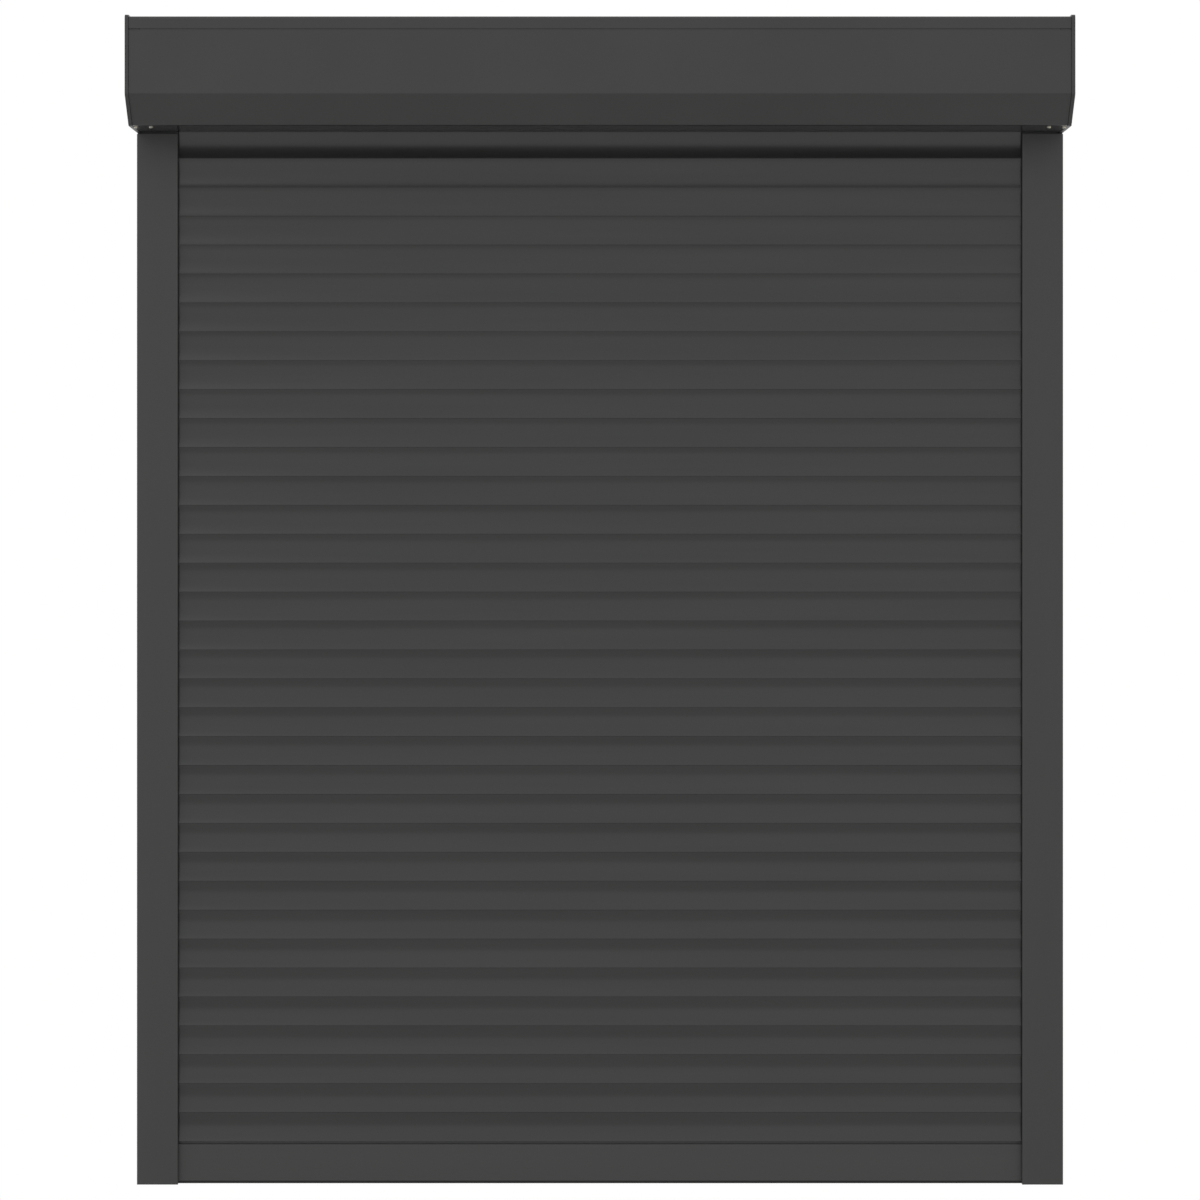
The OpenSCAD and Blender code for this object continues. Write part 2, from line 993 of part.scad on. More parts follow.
slat(35);  // slat_35
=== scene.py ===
"""Exterior roller shutter: refined meshes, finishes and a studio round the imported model.

Metres in the scene, millimetres in the dataclass fields. +Z is up and the outside of the
shutter looks along -Y.
"""

from __future__ import annotations

import json
import logging
import math
from collections.abc import Callable, Sequence
from dataclasses import dataclass, field
from enum import Enum
from typing import Any

import bmesh
import bpy
from bmesh.types import BMEdge, BMesh
from bpy.types import ID, Material, Mesh, Node, NodeTree, Object
from mathutils import Matrix, Vector

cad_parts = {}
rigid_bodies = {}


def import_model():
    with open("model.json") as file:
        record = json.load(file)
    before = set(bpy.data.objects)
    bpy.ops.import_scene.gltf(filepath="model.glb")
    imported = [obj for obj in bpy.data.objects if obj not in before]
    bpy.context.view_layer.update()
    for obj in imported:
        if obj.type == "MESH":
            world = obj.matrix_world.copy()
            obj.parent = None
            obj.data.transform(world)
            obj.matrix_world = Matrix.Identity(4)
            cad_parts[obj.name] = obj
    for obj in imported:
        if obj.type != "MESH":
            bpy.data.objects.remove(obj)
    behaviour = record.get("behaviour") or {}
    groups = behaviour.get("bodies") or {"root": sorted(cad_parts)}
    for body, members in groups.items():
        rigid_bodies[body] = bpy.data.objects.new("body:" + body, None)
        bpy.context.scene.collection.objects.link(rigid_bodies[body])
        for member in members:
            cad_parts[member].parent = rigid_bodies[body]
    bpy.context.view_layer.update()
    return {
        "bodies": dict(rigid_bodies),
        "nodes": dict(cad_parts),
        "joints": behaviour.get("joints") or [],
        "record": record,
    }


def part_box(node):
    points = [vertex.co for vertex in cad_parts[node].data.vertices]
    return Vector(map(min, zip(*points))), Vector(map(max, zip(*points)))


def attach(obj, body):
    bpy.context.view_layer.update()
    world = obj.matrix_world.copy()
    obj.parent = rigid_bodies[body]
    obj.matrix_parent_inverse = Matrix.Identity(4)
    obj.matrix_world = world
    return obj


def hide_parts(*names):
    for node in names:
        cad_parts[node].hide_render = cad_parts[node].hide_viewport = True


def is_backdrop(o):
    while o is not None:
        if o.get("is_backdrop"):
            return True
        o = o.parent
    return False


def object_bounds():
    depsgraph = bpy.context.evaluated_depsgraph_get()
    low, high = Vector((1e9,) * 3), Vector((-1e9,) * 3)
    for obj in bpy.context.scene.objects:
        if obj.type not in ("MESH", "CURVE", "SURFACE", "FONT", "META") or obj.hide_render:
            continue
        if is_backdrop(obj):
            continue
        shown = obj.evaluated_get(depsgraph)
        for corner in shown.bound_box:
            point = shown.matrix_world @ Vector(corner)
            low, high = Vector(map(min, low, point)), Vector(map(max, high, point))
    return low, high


log = logging.getLogger("roller_shutter")

MM = 0.001
WHITE = (1.0, 1.0, 1.0, 1.0)
UP = Vector((0, 0, 1))
# Points of a mesh that lie nearer than this are one point, in metres
WELD = 1e-6
PACKED_WELD = 2e-6
# Angles between faces in degrees: one flat face, an edge that looks round, one to be rounded
FLAT_BELOW = 0.4
ROUND_BELOW = 35.0
SHARP_ABOVE = 40.0
# Corners of an outline that open wider than this many degrees have nothing to round
STRAIGHT_ABOVE = 179.0
# Bevel profile of a round edge, and normals that follow the largest face at a corner
ROUND_PROFILE = 0.5
LARGEST_FACE_LEADS = 100

Point = tuple[float, float]
Place = tuple[float, float, float]
Loop = list[Point]
EdgeTest = Callable[[BMEdge], bool]


class Side(Enum):
    """Left and right end of the shutter, seen from outside."""

    LEFT = -1
    RIGHT = 1

    @property
    def word(self) -> str:
        """The side as it stands in the node names."""
        return self.name.lower()


def span(node: str) -> tuple[Vector, Vector]:
    """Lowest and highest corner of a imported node, in millimetres."""
    low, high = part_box(node)
    return low / MM, high / MM


# Nodes and colours


def linear(hex_colour: str) -> tuple[float, float, float, float]:
    """Turns an sRGB hex colour into linear RGBA by the curve of the sRGB standard.

    Args:
        hex_colour: Six hex digits with a leading number sign.

    Returns:
        Red, green, blue and alpha, linear.
    """
    parts = [int(hex_colour[i : i + 2], 16) / 255 for i in (1, 3, 5)]
    rgb = [p / 12.92 if p <= 0.04045 else ((p + 0.055) / 1.055) ** 2.4 for p in parts]
    return (rgb[0], rgb[1], rgb[2], 1.0)


def add_node(
    tree: NodeTree,
    kind: str,
    inputs: dict[Any, Any] | None = None,
    links: dict[Any, Any] | None = None,
    **settings: Any,
) -> Node:
    """Adds a node with its settings, socket values and incoming links.

    Args:
        tree: Tree that gets the node.
        kind: Node type.
        inputs: Socket values by name or index.
        links: Sources by input name or index: a socket, or a node for its first output.
        **settings: Attributes of the node itself.

    Returns:
        The new node.
    """
    node = tree.nodes.new(kind)
    for key, value in settings.items():
        setattr(node, key, value)
    for key, value in (inputs or {}).items():
        node.inputs[key].default_value = value
    for key, source in (links or {}).items():
        socket = source.outputs[0] if isinstance(source, Node) else source
        tree.links.new(socket, node.inputs[key])
    return node


# Finishes


@dataclass(frozen=True)
class Finish:
    """A surface as it was made: tone, roughness and relief from two real pattern sizes.

    The tone runs between two close colours in broad clouds, and the roughness and the
    relief follow a fine grain. stretch draws both out along an axis, for surfaces that
    were rolled or extruded in that direction. A band is the range of a pattern's values
    over which the tone or the roughness runs from end to end.
    """

    name: str
    dark: str
    light: str
    roughness: float
    roughness_spread: float
    cloud_mm: float
    grain_mm: float
    relief_mm: float
    relief_strength: float
    stretch: Place = (1.0, 1.0, 1.0)
    metallic: float = 0.0
    ior: float = 1.5
    specular: float = 0.5
    sheen: float = 0.0
    cloud_detail: float = 4.0
    cloud_roughness: float = 0.55
    cloud_band: Point = (0.32, 0.68)
    grain_detail: float = 3.0
    grain_roughness: float = 0.6
    grain_band: Point = (0.3, 0.7)

    def material(self) -> Material:
        """Builds the material once and hands the same one out after that.

        Returns:
            The node material of this finish.
        """
        known = bpy.data.materials.get(self.name)
        if known:
            return known
        material = bpy.data.materials.new(self.name)
        material.use_nodes = True
        tree = material.node_tree
        tree.nodes.clear()
        place = add_node(tree, "ShaderNodeTexCoord").outputs["Object"]
        drawn = add_node(tree, "ShaderNodeMapping", {"Scale": self.stretch}, {"Vector": place})
        sizes = (
            (self.cloud_mm, self.cloud_detail, self.cloud_roughness),
            (self.grain_mm, self.grain_detail, self.grain_roughness),
        )
        clouds, grain = [
            add_node(
                tree,
                "ShaderNodeTexNoise",
                {"Scale": 1 / (size_mm * MM), "Detail": detail, "Roughness": roughness},
                {"Vector": drawn},
            )
            for size_mm, detail, roughness in sizes
        ]
        tone = add_node(tree, "ShaderNodeValToRGB", links={"Fac": clouds})
        colours = (self.dark, self.light)
        for stop, position, colour in zip(tone.color_ramp.elements, self.cloud_band, colours):
            stop.position = position
            stop.color = linear(colour)
        gloss = add_node(
            tree,
            "ShaderNodeMapRange",
            {
                "From Min": self.grain_band[0],
                "From Max": self.grain_band[1],
                "To Min": self.roughness - self.roughness_spread,
                "To Max": self.roughness + self.roughness_spread,
            },
            {"Value": grain},
        )
        relief = add_node(
            tree,
            "ShaderNodeBump",
            {"Strength": self.relief_strength, "Distance": self.relief_mm * MM},
            {"Height": grain},
        )
        constants = {"Metallic": self.metallic, "Sheen Weight": self.sheen}
        if not self.metallic:
            constants |= {"IOR": self.ior, "Specular IOR Level": self.specular}
        surface = {"Base Color": tone, "Roughness": gloss, "Normal": relief}
        shader = add_node(tree, "ShaderNodeBsdfPrincipled", constants, surface)
        add_node(tree, "ShaderNodeOutputMaterial", links={"Surface": shader})
        return material


# Coil coated aluminium sheet, folded afterwards: an even satin anthracite with a faint
# orange peel. The peel is about 1 mm across and is drawn at 2.4 mm so that it can show.
SHEET_COAT = Finish(
    "anthracite_coil_coat_on_folded_sheet", "#262626", "#2a2a2a",
    roughness=0.2, roughness_spread=0.03, cloud_mm=170, grain_mm=2.4,
    relief_mm=0.06, relief_strength=0.04,
)
# Polyester powder on die castings, where the skin of the casting shows through a little.
# The grain of the powder is about 1 mm and is drawn at 2.8 mm so that it can show.
CASTING_COAT = Finish(
    "anthracite_powder_coat_on_casting", "#262626", "#2c2c2c",
    roughness=0.45, roughness_spread=0.04, cloud_mm=60, grain_mm=2.8,
    relief_mm=0.09, relief_strength=0.3,
)
# The same powder on extrusions that stand upright: faint die lines run up the rail.
RAIL_COAT = Finish(
    "anthracite_powder_coat_on_upright_extrusion", "#2b2b2b", "#2f2f2f",
    roughness=0.48, roughness_spread=0.03, cloud_mm=130, grain_mm=2.2,
    relief_mm=0.08, relief_strength=0.3, stretch=(1.0, 1.0, 0.06),
)
# And on the bottom bar, whose die lines run across.
BAR_COAT = Finish(
    "anthracite_powder_coat_on_level_extrusion", "#2d2d2d", "#313131",
    roughness=0.48, roughness_spread=0.03, cloud_mm=130, grain_mm=2.2,
    relief_mm=0.08, relief_strength=0.3, stretch=(0.06, 1.0, 1.0),
)
# Two layer coil coating, roll formed afterwards: smoother than powder, with very soft
# streaks along the slat where the strip ran through the rollers.
SLAT_COAT = Finish(
    "anthracite_coil_coat_roll_formed", "#242424", "#282828",
    roughness=0.19, roughness_spread=0.02, cloud_mm=24, grain_mm=3.0,
    relief_mm=0.04, relief_strength=0.04, stretch=(0.05, 1.0, 1.0),
)
# Bright zinc with a thin passivation: pale metal with a slight warm and cool mottle.
ZINC = Finish(
    "passivated_zinc_plate_on_steel", "#9c9a90", "#b9b5a4",
    roughness=0.32, roughness_spread=0.08, cloud_mm=5, grain_mm=1.2,
    relief_mm=0.02, relief_strength=0.12, metallic=1.0,
)
# Ground and hardened steel, left bare under a film of oil: cool grey with drawn streaks.
BARE_STEEL = Finish(
    "oiled_spring_steel_strip", "#8b8d90", "#a5a7a9",
    roughness=0.3, roughness_spread=0.08, cloud_mm=9, grain_mm=0.8,
    relief_mm=0.02, relief_strength=0.15, stretch=(0.08, 1.0, 1.0), metallic=1.0,
)
# Extruded EPDM: deep black, dull, with fine drag lines along its length.
SEAL_RUBBER = Finish(
    "extruded_black_rubber", "#131313", "#1b1b1b",
    roughness=0.68, roughness_spread=0.06, cloud_mm=18, grain_mm=0.9,
    relief_mm=0.08, relief_strength=0.25, stretch=(0.04, 1.0, 1.0), ior=1.52, specular=0.4,
)
# Moulded EPDM: the same black with the even bloom of a press mould.
GROMMET_RUBBER = Finish(
    "moulded_black_rubber", "#151515", "#1f1f1f",
    roughness=0.62, roughness_spread=0.08, cloud_mm=6, grain_mm=0.7,
    relief_mm=0.05, relief_strength=0.2, ior=1.52, specular=0.4,
)
# Glass filled nylon from a spark eroded mould: black with a fine even grain.
# The grain is about 0.3 mm and is drawn at 0.9 mm so that it can show at all.
NYLON = Finish(
    "moulded_black_nylon", "#161617", "#202021",
    roughness=0.5, roughness_spread=0.08, cloud_mm=14, grain_mm=0.9,
    relief_mm=0.05, relief_strength=0.25, ior=1.53,
)
# Polypropylene pile: soft black tufts that scatter a little light at their tips.
PILE = Finish(
    "black_polypropylene_pile", "#101010", "#1e1e1e",
    roughness=0.85, roughness_spread=0.08, cloud_mm=2.5, grain_mm=0.6,
    relief_mm=0.05, relief_strength=0.2, ior=1.49, sheen=0.3,
)
# Painted studio floor: pale, flat and only faintly clouded.
FLOOR_PAINT = Finish(
    "matt_pale_floor_paint", "#d1d1d0", "#d7d7d6",
    roughness=0.8, roughness_spread=0.05, cloud_mm=600, grain_mm=9,
    relief_mm=0.1, relief_strength=0.05, specular=0.2,
)


# Sections and meshes


@dataclass(frozen=True)
class Corner:
    """A corner of a section in millimetres, with the radius it is rounded to."""

    a: float
    b: float
    r: float = 0.0


def rounded(corners: Sequence[Corner], steps: int) -> Loop:
    """Rounds the corners of a closed outline.

    Args:
        corners: Corners in order, each with its own radius.
        steps: Straight pieces in each rounding.

    Returns:
        Points of the outline, in millimetres.
    """
    points: Loop = []
    for i, corner in enumerate(corners):
        here = Vector((corner.a, corner.b))
        before, after = corners[i - 1], corners[(i + 1) % len(corners)]
        u = (Vector((before.a, before.b)) - here).normalized()
        v = (Vector((after.a, after.b)) - here).normalized()
        opening = u.angle(v)
        if corner.r <= 0 or opening > math.radians(STRAIGHT_ABOVE):
            points.append((corner.a, corner.b))
            continue
        middle = here + (u + v).normalized() * (corner.r / math.sin(opening / 2))
        reach = corner.r / math.tan(opening / 2)
        start = here + u * reach - middle
        turn = start.angle_signed(here + v * reach - middle)
        for k in range(steps + 1):
            arm = start.copy()
            arm.rotate(Matrix.Rotation(-turn * k / steps, 2))
            points.append((middle.x + arm.x, middle.y + arm.y))
    return points


def in_scene(name: str, data: ID) -> Object:
    """Makes an object at the origin and links it to the scene.

    Args:
        name: Name of the object.
        data: Its mesh, curve, lamp or camera.

    Returns:
        The new object.
    """
    obj = bpy.data.objects.new(name, data)
    bpy.context.scene.collection.objects.link(obj)
    return obj


def plain_mesh(name: str, work: BMesh) -> Mesh:
    """Writes a working mesh out and frees it.

    Args:
        name: Name of the mesh.
        work: Working mesh, which is used up.

    Returns:
        A new mesh.
    """
    mesh = bpy.data.meshes.new(name)
    work.to_mesh(mesh)
    work.free()
    return mesh


def evaluated_mesh(obj: Object) -> Mesh:
    """Plain mesh of an object with its modifiers worked out; the object is removed.

    Args:
        obj: Object with modifiers, or a curve.

    Returns:
        A new mesh in the object's own space.
    """
    depsgraph = bpy.context.evaluated_depsgraph_get()
    mesh = bpy.data.meshes.new_from_object(obj.evaluated_get(depsgraph))
    name, source = obj.name, obj.data
    bpy.data.objects.remove(obj)
    if isinstance(source, Mesh):
        bpy.data.meshes.remove(source)
    mesh.name = name
    return mesh


def flat_section(name: str, loops: Sequence[Loop]) -> Object:
    """Fills an outline and its holes, as a flat mesh across the X axis.

    The curve is filled in millimetres, because the filling merges points that lie within
    a few hundredths of its unit.

    Args:
        name: Name of the section.
        loops: Outline first, then the holes; a is Y and b is Z.

    Returns:
        Object that a drawing tree takes as its section.
    """
    curve = bpy.data.curves.new(name, "CURVE")
    curve.dimensions = "2D"
    curve.fill_mode = "BOTH"
    for loop in loops:
        spline = curve.splines.new("POLY")
        spline.points.add(len(loop) - 1)
        spline.points.foreach_set("co", [c for a, b in loop for c in (a, b, 0.0, 1.0)])
        spline.use_cyclic_u = True
    mesh = evaluated_mesh(in_scene(name, curve))
    bpy.data.curves.remove(curve)
    across_x = Matrix(((0, 0, 1, 0), (1, 0, 0, 0), (0, 1, 0, 0), (0, 0, 0, 1)))
    mesh.transform(across_x @ Matrix.Scale(MM, 4))
    return in_scene(name, mesh)


def settle(mesh: Mesh, round_below: float = ROUND_BELOW) -> Mesh:
    """Welds a mesh, turns its faces outwards and smooths all but its sharp edges.

    The normals are weighted by area, so that a flat face beside a round bend stays flat.

    Args:
        mesh: Closed mesh, which is used up.
        round_below: Edges that turn by less than this many degrees look round.

    Returns:
        The finished mesh under the same name.
    """
    work = bmesh.new()
    work.from_mesh(mesh)
    bmesh.ops.remove_doubles(work, verts=work.verts, dist=WELD)
    bmesh.ops.recalc_face_normals(work, faces=work.faces)
    for face in work.faces:
        face.smooth = True
    for edge in work.edges:
        edge.smooth = edge.calc_face_angle(math.pi) < math.radians(round_below)
    work.to_mesh(mesh)
    work.free()
    obj = in_scene(mesh.name, mesh)
    weighted = obj.modifiers.new("flat_stays_flat", "WEIGHTED_NORMAL")
    weighted.weight = LARGEST_FACE_LEADS
    weighted.keep_sharp = True
    return evaluated_mesh(obj)


def joined(name: str, meshes: Sequence[Mesh]) -> Mesh:
    """Puts several meshes into one.

    Args:
        name: Name of the new mesh.
        meshes: Meshes to join; they are removed.

    Returns:
        The new mesh.
    """
    work = bmesh.new()
    for mesh in meshes:
        work.from_mesh(mesh)
        bpy.data.meshes.remove(mesh)
    return plain_mesh(name, work)


def refined(node: Object, width_mm: float, steps: int, chosen: EdgeTest) -> Mesh:
    """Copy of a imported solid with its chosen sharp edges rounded.

    Args:
        node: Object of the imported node, which stays as it is.
        width_mm: Width of the rounding.
        steps: Straight pieces across the rounding.
        chosen: Says whether a sharp edge is rounded.

    Returns:
        A new mesh.
    """
    mesh = node.data.copy()
    mesh.transform(node.matrix_world)
    mesh.materials.clear()
    work = bmesh.new()
    work.from_mesh(mesh)
    bmesh.ops.remove_doubles(work, verts=work.verts, dist=PACKED_WELD)
    flat = math.radians(FLAT_BELOW)
    bmesh.ops.dissolve_limit(work, angle_limit=flat, verts=work.verts, edges=work.edges)
    sharp = math.radians(SHARP_ABOVE)
    edges = [e for e in work.edges if e.is_manifold and e.calc_face_angle(0) > sharp and chosen(e)]
    bmesh.ops.bevel(
        work,
        geom=edges,
        offset=width_mm * MM,
        segments=steps,
        profile=ROUND_PROFILE,
        affect="EDGES",
        clamp_overlap=True,
    )
    work.to_mesh(mesh)
    work.free()
    return settle(mesh)


def lathe(name: str, outline: Loop, steps: int, ring: bool = False) -> Mesh:
    """Turns an outline round the Z axis.

    Args:
        name: Name of the mesh.
        outline: Radius and height in millimetres.
        steps: Straight pieces in the round.
        ring: True for an outline that comes back to its start.

    Returns:
        A closed mesh.
    """
    n = len(outline)
    angles = [math.tau * k / steps for k in range(steps)]
    points = [(r * MM * math.cos(a), r * MM * math.sin(a), z * MM) for a in angles for r, z in outline]
    strips = [(i, (i + 1) % n) for i in range(n if ring else n - 1)]
    turns = [(k * n, (k + 1) % steps * n) for k in range(steps)]
    faces = [(k + i, k + j, m + j, m + i) for k, m in turns for i, j in strips]
    mesh = bpy.data.meshes.new(name)
    mesh.from_pydata(points, [], faces)
    return settle(mesh, SHARP_ABOVE)


@dataclass
class Piece:
    """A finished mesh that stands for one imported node."""

    name: str
    mesh: Mesh
    node: str
    finish: Finish

    def place(self, record: dict[str, Any]) -> None:
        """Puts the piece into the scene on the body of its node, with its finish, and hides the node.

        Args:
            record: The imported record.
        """
        bodies = record["behaviour"]["bodies"]
        body = next(name for name, nodes in bodies.items() if self.node in nodes)
        self.mesh.materials.clear()
        self.mesh.materials.append(self.finish.material())
        obj = in_scene(self.name, self.mesh)
        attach(obj, body)
        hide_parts(self.node)
        log.info("%s: %d faces on %s", self.name, len(self.mesh.polygons), body)


# Geometry node trees


class NodeMaker:
    """A geometry node tree with named inputs, run once for each mesh it makes."""

    def __init__(self, name: str, inputs: dict[str, str]) -> None:
        """Opens a tree.

        Args:
            name: Name of the tree.
            inputs: Socket type of each named input; every tree takes a finish as well.
        """
        self.tree = bpy.data.node_groups.new(name, "GeometryNodeTree")
        self.sockets: dict[str, str] = {}
        face = self.tree.interface
        for label, kind in (inputs | {"Finish": "Material"}).items():
            socket = face.new_socket(name=label, in_out="INPUT", socket_type=f"NodeSocket{kind}")
            self.sockets[label] = socket.identifier
        face.new_socket(name="Geometry", in_out="OUTPUT", socket_type="NodeSocketGeometry")
        self.given = add_node(self.tree, "NodeGroupInput").outputs

    def close(self, geometry: Node) -> None:
        """Ends the tree in real meshes and a material.

        Args:
            geometry: Node whose first output is the finished geometry.
        """
        whole = add_node(self.tree, "GeometryNodeRealizeInstances", links={0: geometry})
        paint = {"Geometry": whole, "Material": self.given["Finish"]}
        painted = add_node(self.tree, "GeometryNodeSetMaterial", links=paint)
        add_node(self.tree, "NodeGroupOutput", links={0: painted})

    def make(self, name: str, finish: Finish, values: dict[str, Any]) -> Mesh:
        """Runs the tree.

        Args:
            name: Name of the mesh.
            finish: Its finish.
            values: Value of each other named input.

        Returns:
            A plain mesh.
        """
        obj = in_scene(name, bpy.data.meshes.new(name))
        modifier = obj.modifiers.new("maker", "NODES")
        modifier.node_group = self.tree
        for label, value in (values | {"Finish": finish.material()}).items():
            modifier[self.sockets[label]] = value
        return evaluated_mesh(obj)


@dataclass(frozen=True)
class Ladder:
    """Where drawn profiles lie: their length, the lowest foot and the step between them."""

    length_mm: float
    foot_mm: Vector
    pitch_mm: float = 0.0


class DrawnProfile(NodeMaker):
    """Draws a flat section out along X and sets it down on one rung of a ladder.

    START is where the drawing begins, as a share of the length from the middle.
    """

    START = -0.5

    def __init__(self) -> None:
        """Builds the tree."""
        super().__init__(
            "drawn_profile",
            {"Section": "Object", "Length": "Float", "Foot": "Vector", "Pitch": "Float", "Rung": "Int"},
        )
        tree, given = self.tree, self.given
        info = add_node(tree, "GeometryNodeObjectInfo", links={"Object": given["Section"]})
        length = {0: given["Length"]}
        back = add_node(tree, "ShaderNodeMath", {1: self.START}, length, operation="MULTIPLY")
        start = add_node(tree, "ShaderNodeCombineXYZ", links={"X": back})
        section = info.outputs["Geometry"]
        first_end = add_node(tree, "GeometryNodeSetPosition", links={0: section, "Offset": start})
        reach = add_node(tree, "ShaderNodeCombineXYZ", links={"X": given["Length"]})
        drawn = add_node(
            tree,
            "GeometryNodeExtrudeMesh",
            {"Individual": False},
            {0: first_end, "Offset": reach},
            mode="FACES",
        )
        turned = add_node(tree, "GeometryNodeFlipFaces", links={0: first_end})
        shell = add_node(tree, "GeometryNodeJoinGeometry", links={0: drawn})
        tree.links.new(turned.outputs[0], shell.inputs[0])
        closed = add_node(tree, "GeometryNodeMergeByDistance", {"Distance": WELD}, {0: shell})
        climb = {0: given["Pitch"], 1: given["Rung"]}
        rise = add_node(tree, "ShaderNodeMath", links=climb, operation="MULTIPLY")
        step = add_node(tree, "ShaderNodeCombineXYZ", links={"Z": rise})
        spot = add_node(tree, "ShaderNodeVectorMath", links={0: given["Foot"], 1: step}, operation="ADD")
        placed = {"Geometry": closed, "Translation": spot}
        self.close(add_node(tree, "GeometryNodeTransform", links=placed))

    def draw(
        self, name: str, section: Object, ladder: Ladder, finish: Finish, rung: int = 0
    ) -> Mesh:
        """Draws one profile.

        Args:
            name: Name of the mesh.
            section: Flat section.
            ladder: Where the profiles lie.
            finish: Finish of the profile.
            rung: Its place on the ladder.

        Returns:
            A closed mesh.
        """
        values = {
            "Section": section,
            "Length": ladder.length_mm * MM,
            "Foot": ladder.foot_mm * MM,
            "Pitch": ladder.pitch_mm * MM,
            "Rung": rung,
        }
        return settle(self.make(name, finish, values))


class FastenerSet(NodeMaker):
    """Sets one fastener at each place, along its axis and at a chance turn."""

    def __init__(self) -> None:
        """Builds the tree."""
        super().__init__("fastener_set", {"Fastener": "Object", "Places": "Object", "Seed": "Int"})
        tree, given = self.tree, self.given
        places = add_node(tree, "GeometryNodeObjectInfo", links={"Object": given["Places"]})
        fastener = add_node(
            tree, "GeometryNodeObjectInfo", {"As Instance": True}, {"Object": given["Fastener"]}
        )
        axis = add_node(
            tree, "GeometryNodeInputNamedAttribute", {"Name": "axis"}, data_type="FLOAT_VECTOR"
        )
        aimed = add_node(tree, "FunctionNodeAlignRotationToVector", links={"Vector": axis}, axis="Z")
        chance = add_node(
            tree,
            "FunctionNodeRandomValue",
            {2: 0.0, 3: math.tau},
            {"Seed": given["Seed"]},
            data_type="FLOAT",
        )
        spin = add_node(
            tree, "FunctionNodeAxisAngleToRotation", {"Axis": UP}, {"Angle": chance.outputs[1]}
        )
        turned = add_node(
            tree,
            "FunctionNodeRotateRotation",
            links={"Rotation": aimed, "Rotate By": spin},
            rotation_space="LOCAL",
        )
        rows = {
            "Points": places.outputs["Geometry"],
            "Instance": fastener.outputs["Geometry"],
            "Rotation": turned,
        }
        self.close(add_node(tree, "GeometryNodeInstanceOnPoints", links=rows))

    def spread(
        self, name: str, fastener: Object, seats: Sequence[tuple[Place, Vector]],
        seed: int, finish: Finish,
    ) -> Mesh:
        """Sets a fastener at all its seats.

        Args:
            name: Name of the mesh.
            fastener: The fastener, which is used up.
            seats: Place of each seat in millimetres and the way its shank points.
            seed: Seed of the chance turn.
            finish: Finish of the fasteners.

        Returns:
            A mesh of all fasteners.
        """
        points = bpy.data.meshes.new(f"{name}_places")
        points.from_pydata([[c * MM for c in seat] for seat, _ in seats], [], [])
        axis = points.attributes.new("axis", "FLOAT_VECTOR", "POINT")
        axis.data.foreach_set("vector", [c for _, way in seats for c in way])
        places = in_scene(points.name, points)
        values = {"Fastener": fastener, "Places": places, "Seed": seed}
        mesh = settle(self.make(name, finish, values))
        bpy.data.objects.remove(fastener)
        bpy.data.objects.remove(places)
        return mesh


class PileStrip(NodeMaker):
    """Stands rows of short bristles along Z, leaning a little at random.

    SHAKE is how far a bristle's foot may stray in metres, LEAN how far it may turn in
    radians, TIP the tip's share of its thickness and SHORTEST the least share of its size.
    """

    SIDES = 4
    SHAKE = Vector((0.2, 0.0, 0.5)) * MM
    LEAN = Vector((0.12, 0.4, 0.12))
    TIP = 0.45
    SHORTEST = 0.84

    def __init__(self) -> None:
        """Builds the tree."""
        floats = ("Length", "Width", "Height", "Thickness", "Turn")
        kinds = {label: "Float" for label in floats}
        kinds |= {"Foot": "Vector", "Rows": "Int", "Tufts": "Int", "Seed": "Int"}
        super().__init__("pile_strip", kinds)
        tree, given = self.tree, self.given
        seeded = {"Seed": given["Seed"]}
        field_size = {
            "Size X": given["Width"],
            "Size Y": given["Length"],
            "Vertices X": given["Rows"],
            "Vertices Y": given["Tufts"],
        }
        grid = add_node(tree, "GeometryNodeMeshGrid", links=field_size)
        upright = add_node(
            tree,
            "GeometryNodeTransform",
            {"Rotation": (math.pi / 2, 0, 0)},
            {"Geometry": grid, "Translation": given["Foot"]},
        )
        shake, lean = [
            add_node(
                tree, "FunctionNodeRandomValue", {0: -most, 1: most}, seeded, data_type="FLOAT_VECTOR"
            )
            for most in (self.SHAKE, self.LEAN)
        ]
        uneven = add_node(tree, "GeometryNodeSetPosition", links={0: upright, "Offset": shake})
        tip = add_node(
            tree, "ShaderNodeMath", {1: self.TIP}, {0: given["Thickness"]}, operation="MULTIPLY"
        )
        bristle = add_node(
            tree,
            "GeometryNodeMeshCone",
            {"Vertices": self.SIDES, "Side Segments": 1},
            {"Radius Top": tip, "Radius Bottom": given["Thickness"], "Depth": given["Height"]},
            fill_type="NGON",
        )
        aim = add_node(tree, "ShaderNodeCombineXYZ", links={"X": given["Turn"]})
        stand = add_node(tree, "ShaderNodeVectorMath", links={0: lean, 1: aim}, operation="ADD")
        share = add_node(
            tree, "FunctionNodeRandomValue", {2: self.SHORTEST, 3: 1.0}, seeded, data_type="FLOAT"
        )
        tufts = {"Points": uneven, "Instance": bristle, "Rotation": stand, "Scale": share.outputs[1]}
        self.close(add_node(tree, "GeometryNodeInstanceOnPoints", links=tufts))


@dataclass
class Makers:
    """The trees that the sub-assemblies share."""

    profile: DrawnProfile = field(default_factory=DrawnProfile)
    fasteners: FastenerSet = field(default_factory=FastenerSet)
    pile: PileStrip = field(default_factory=PileStrip)


# Sub-assemblies


@dataclass
class SubAssembly:
    """A group of pieces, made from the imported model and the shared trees."""

    frame: dict[str, Any]
    makers: Makers


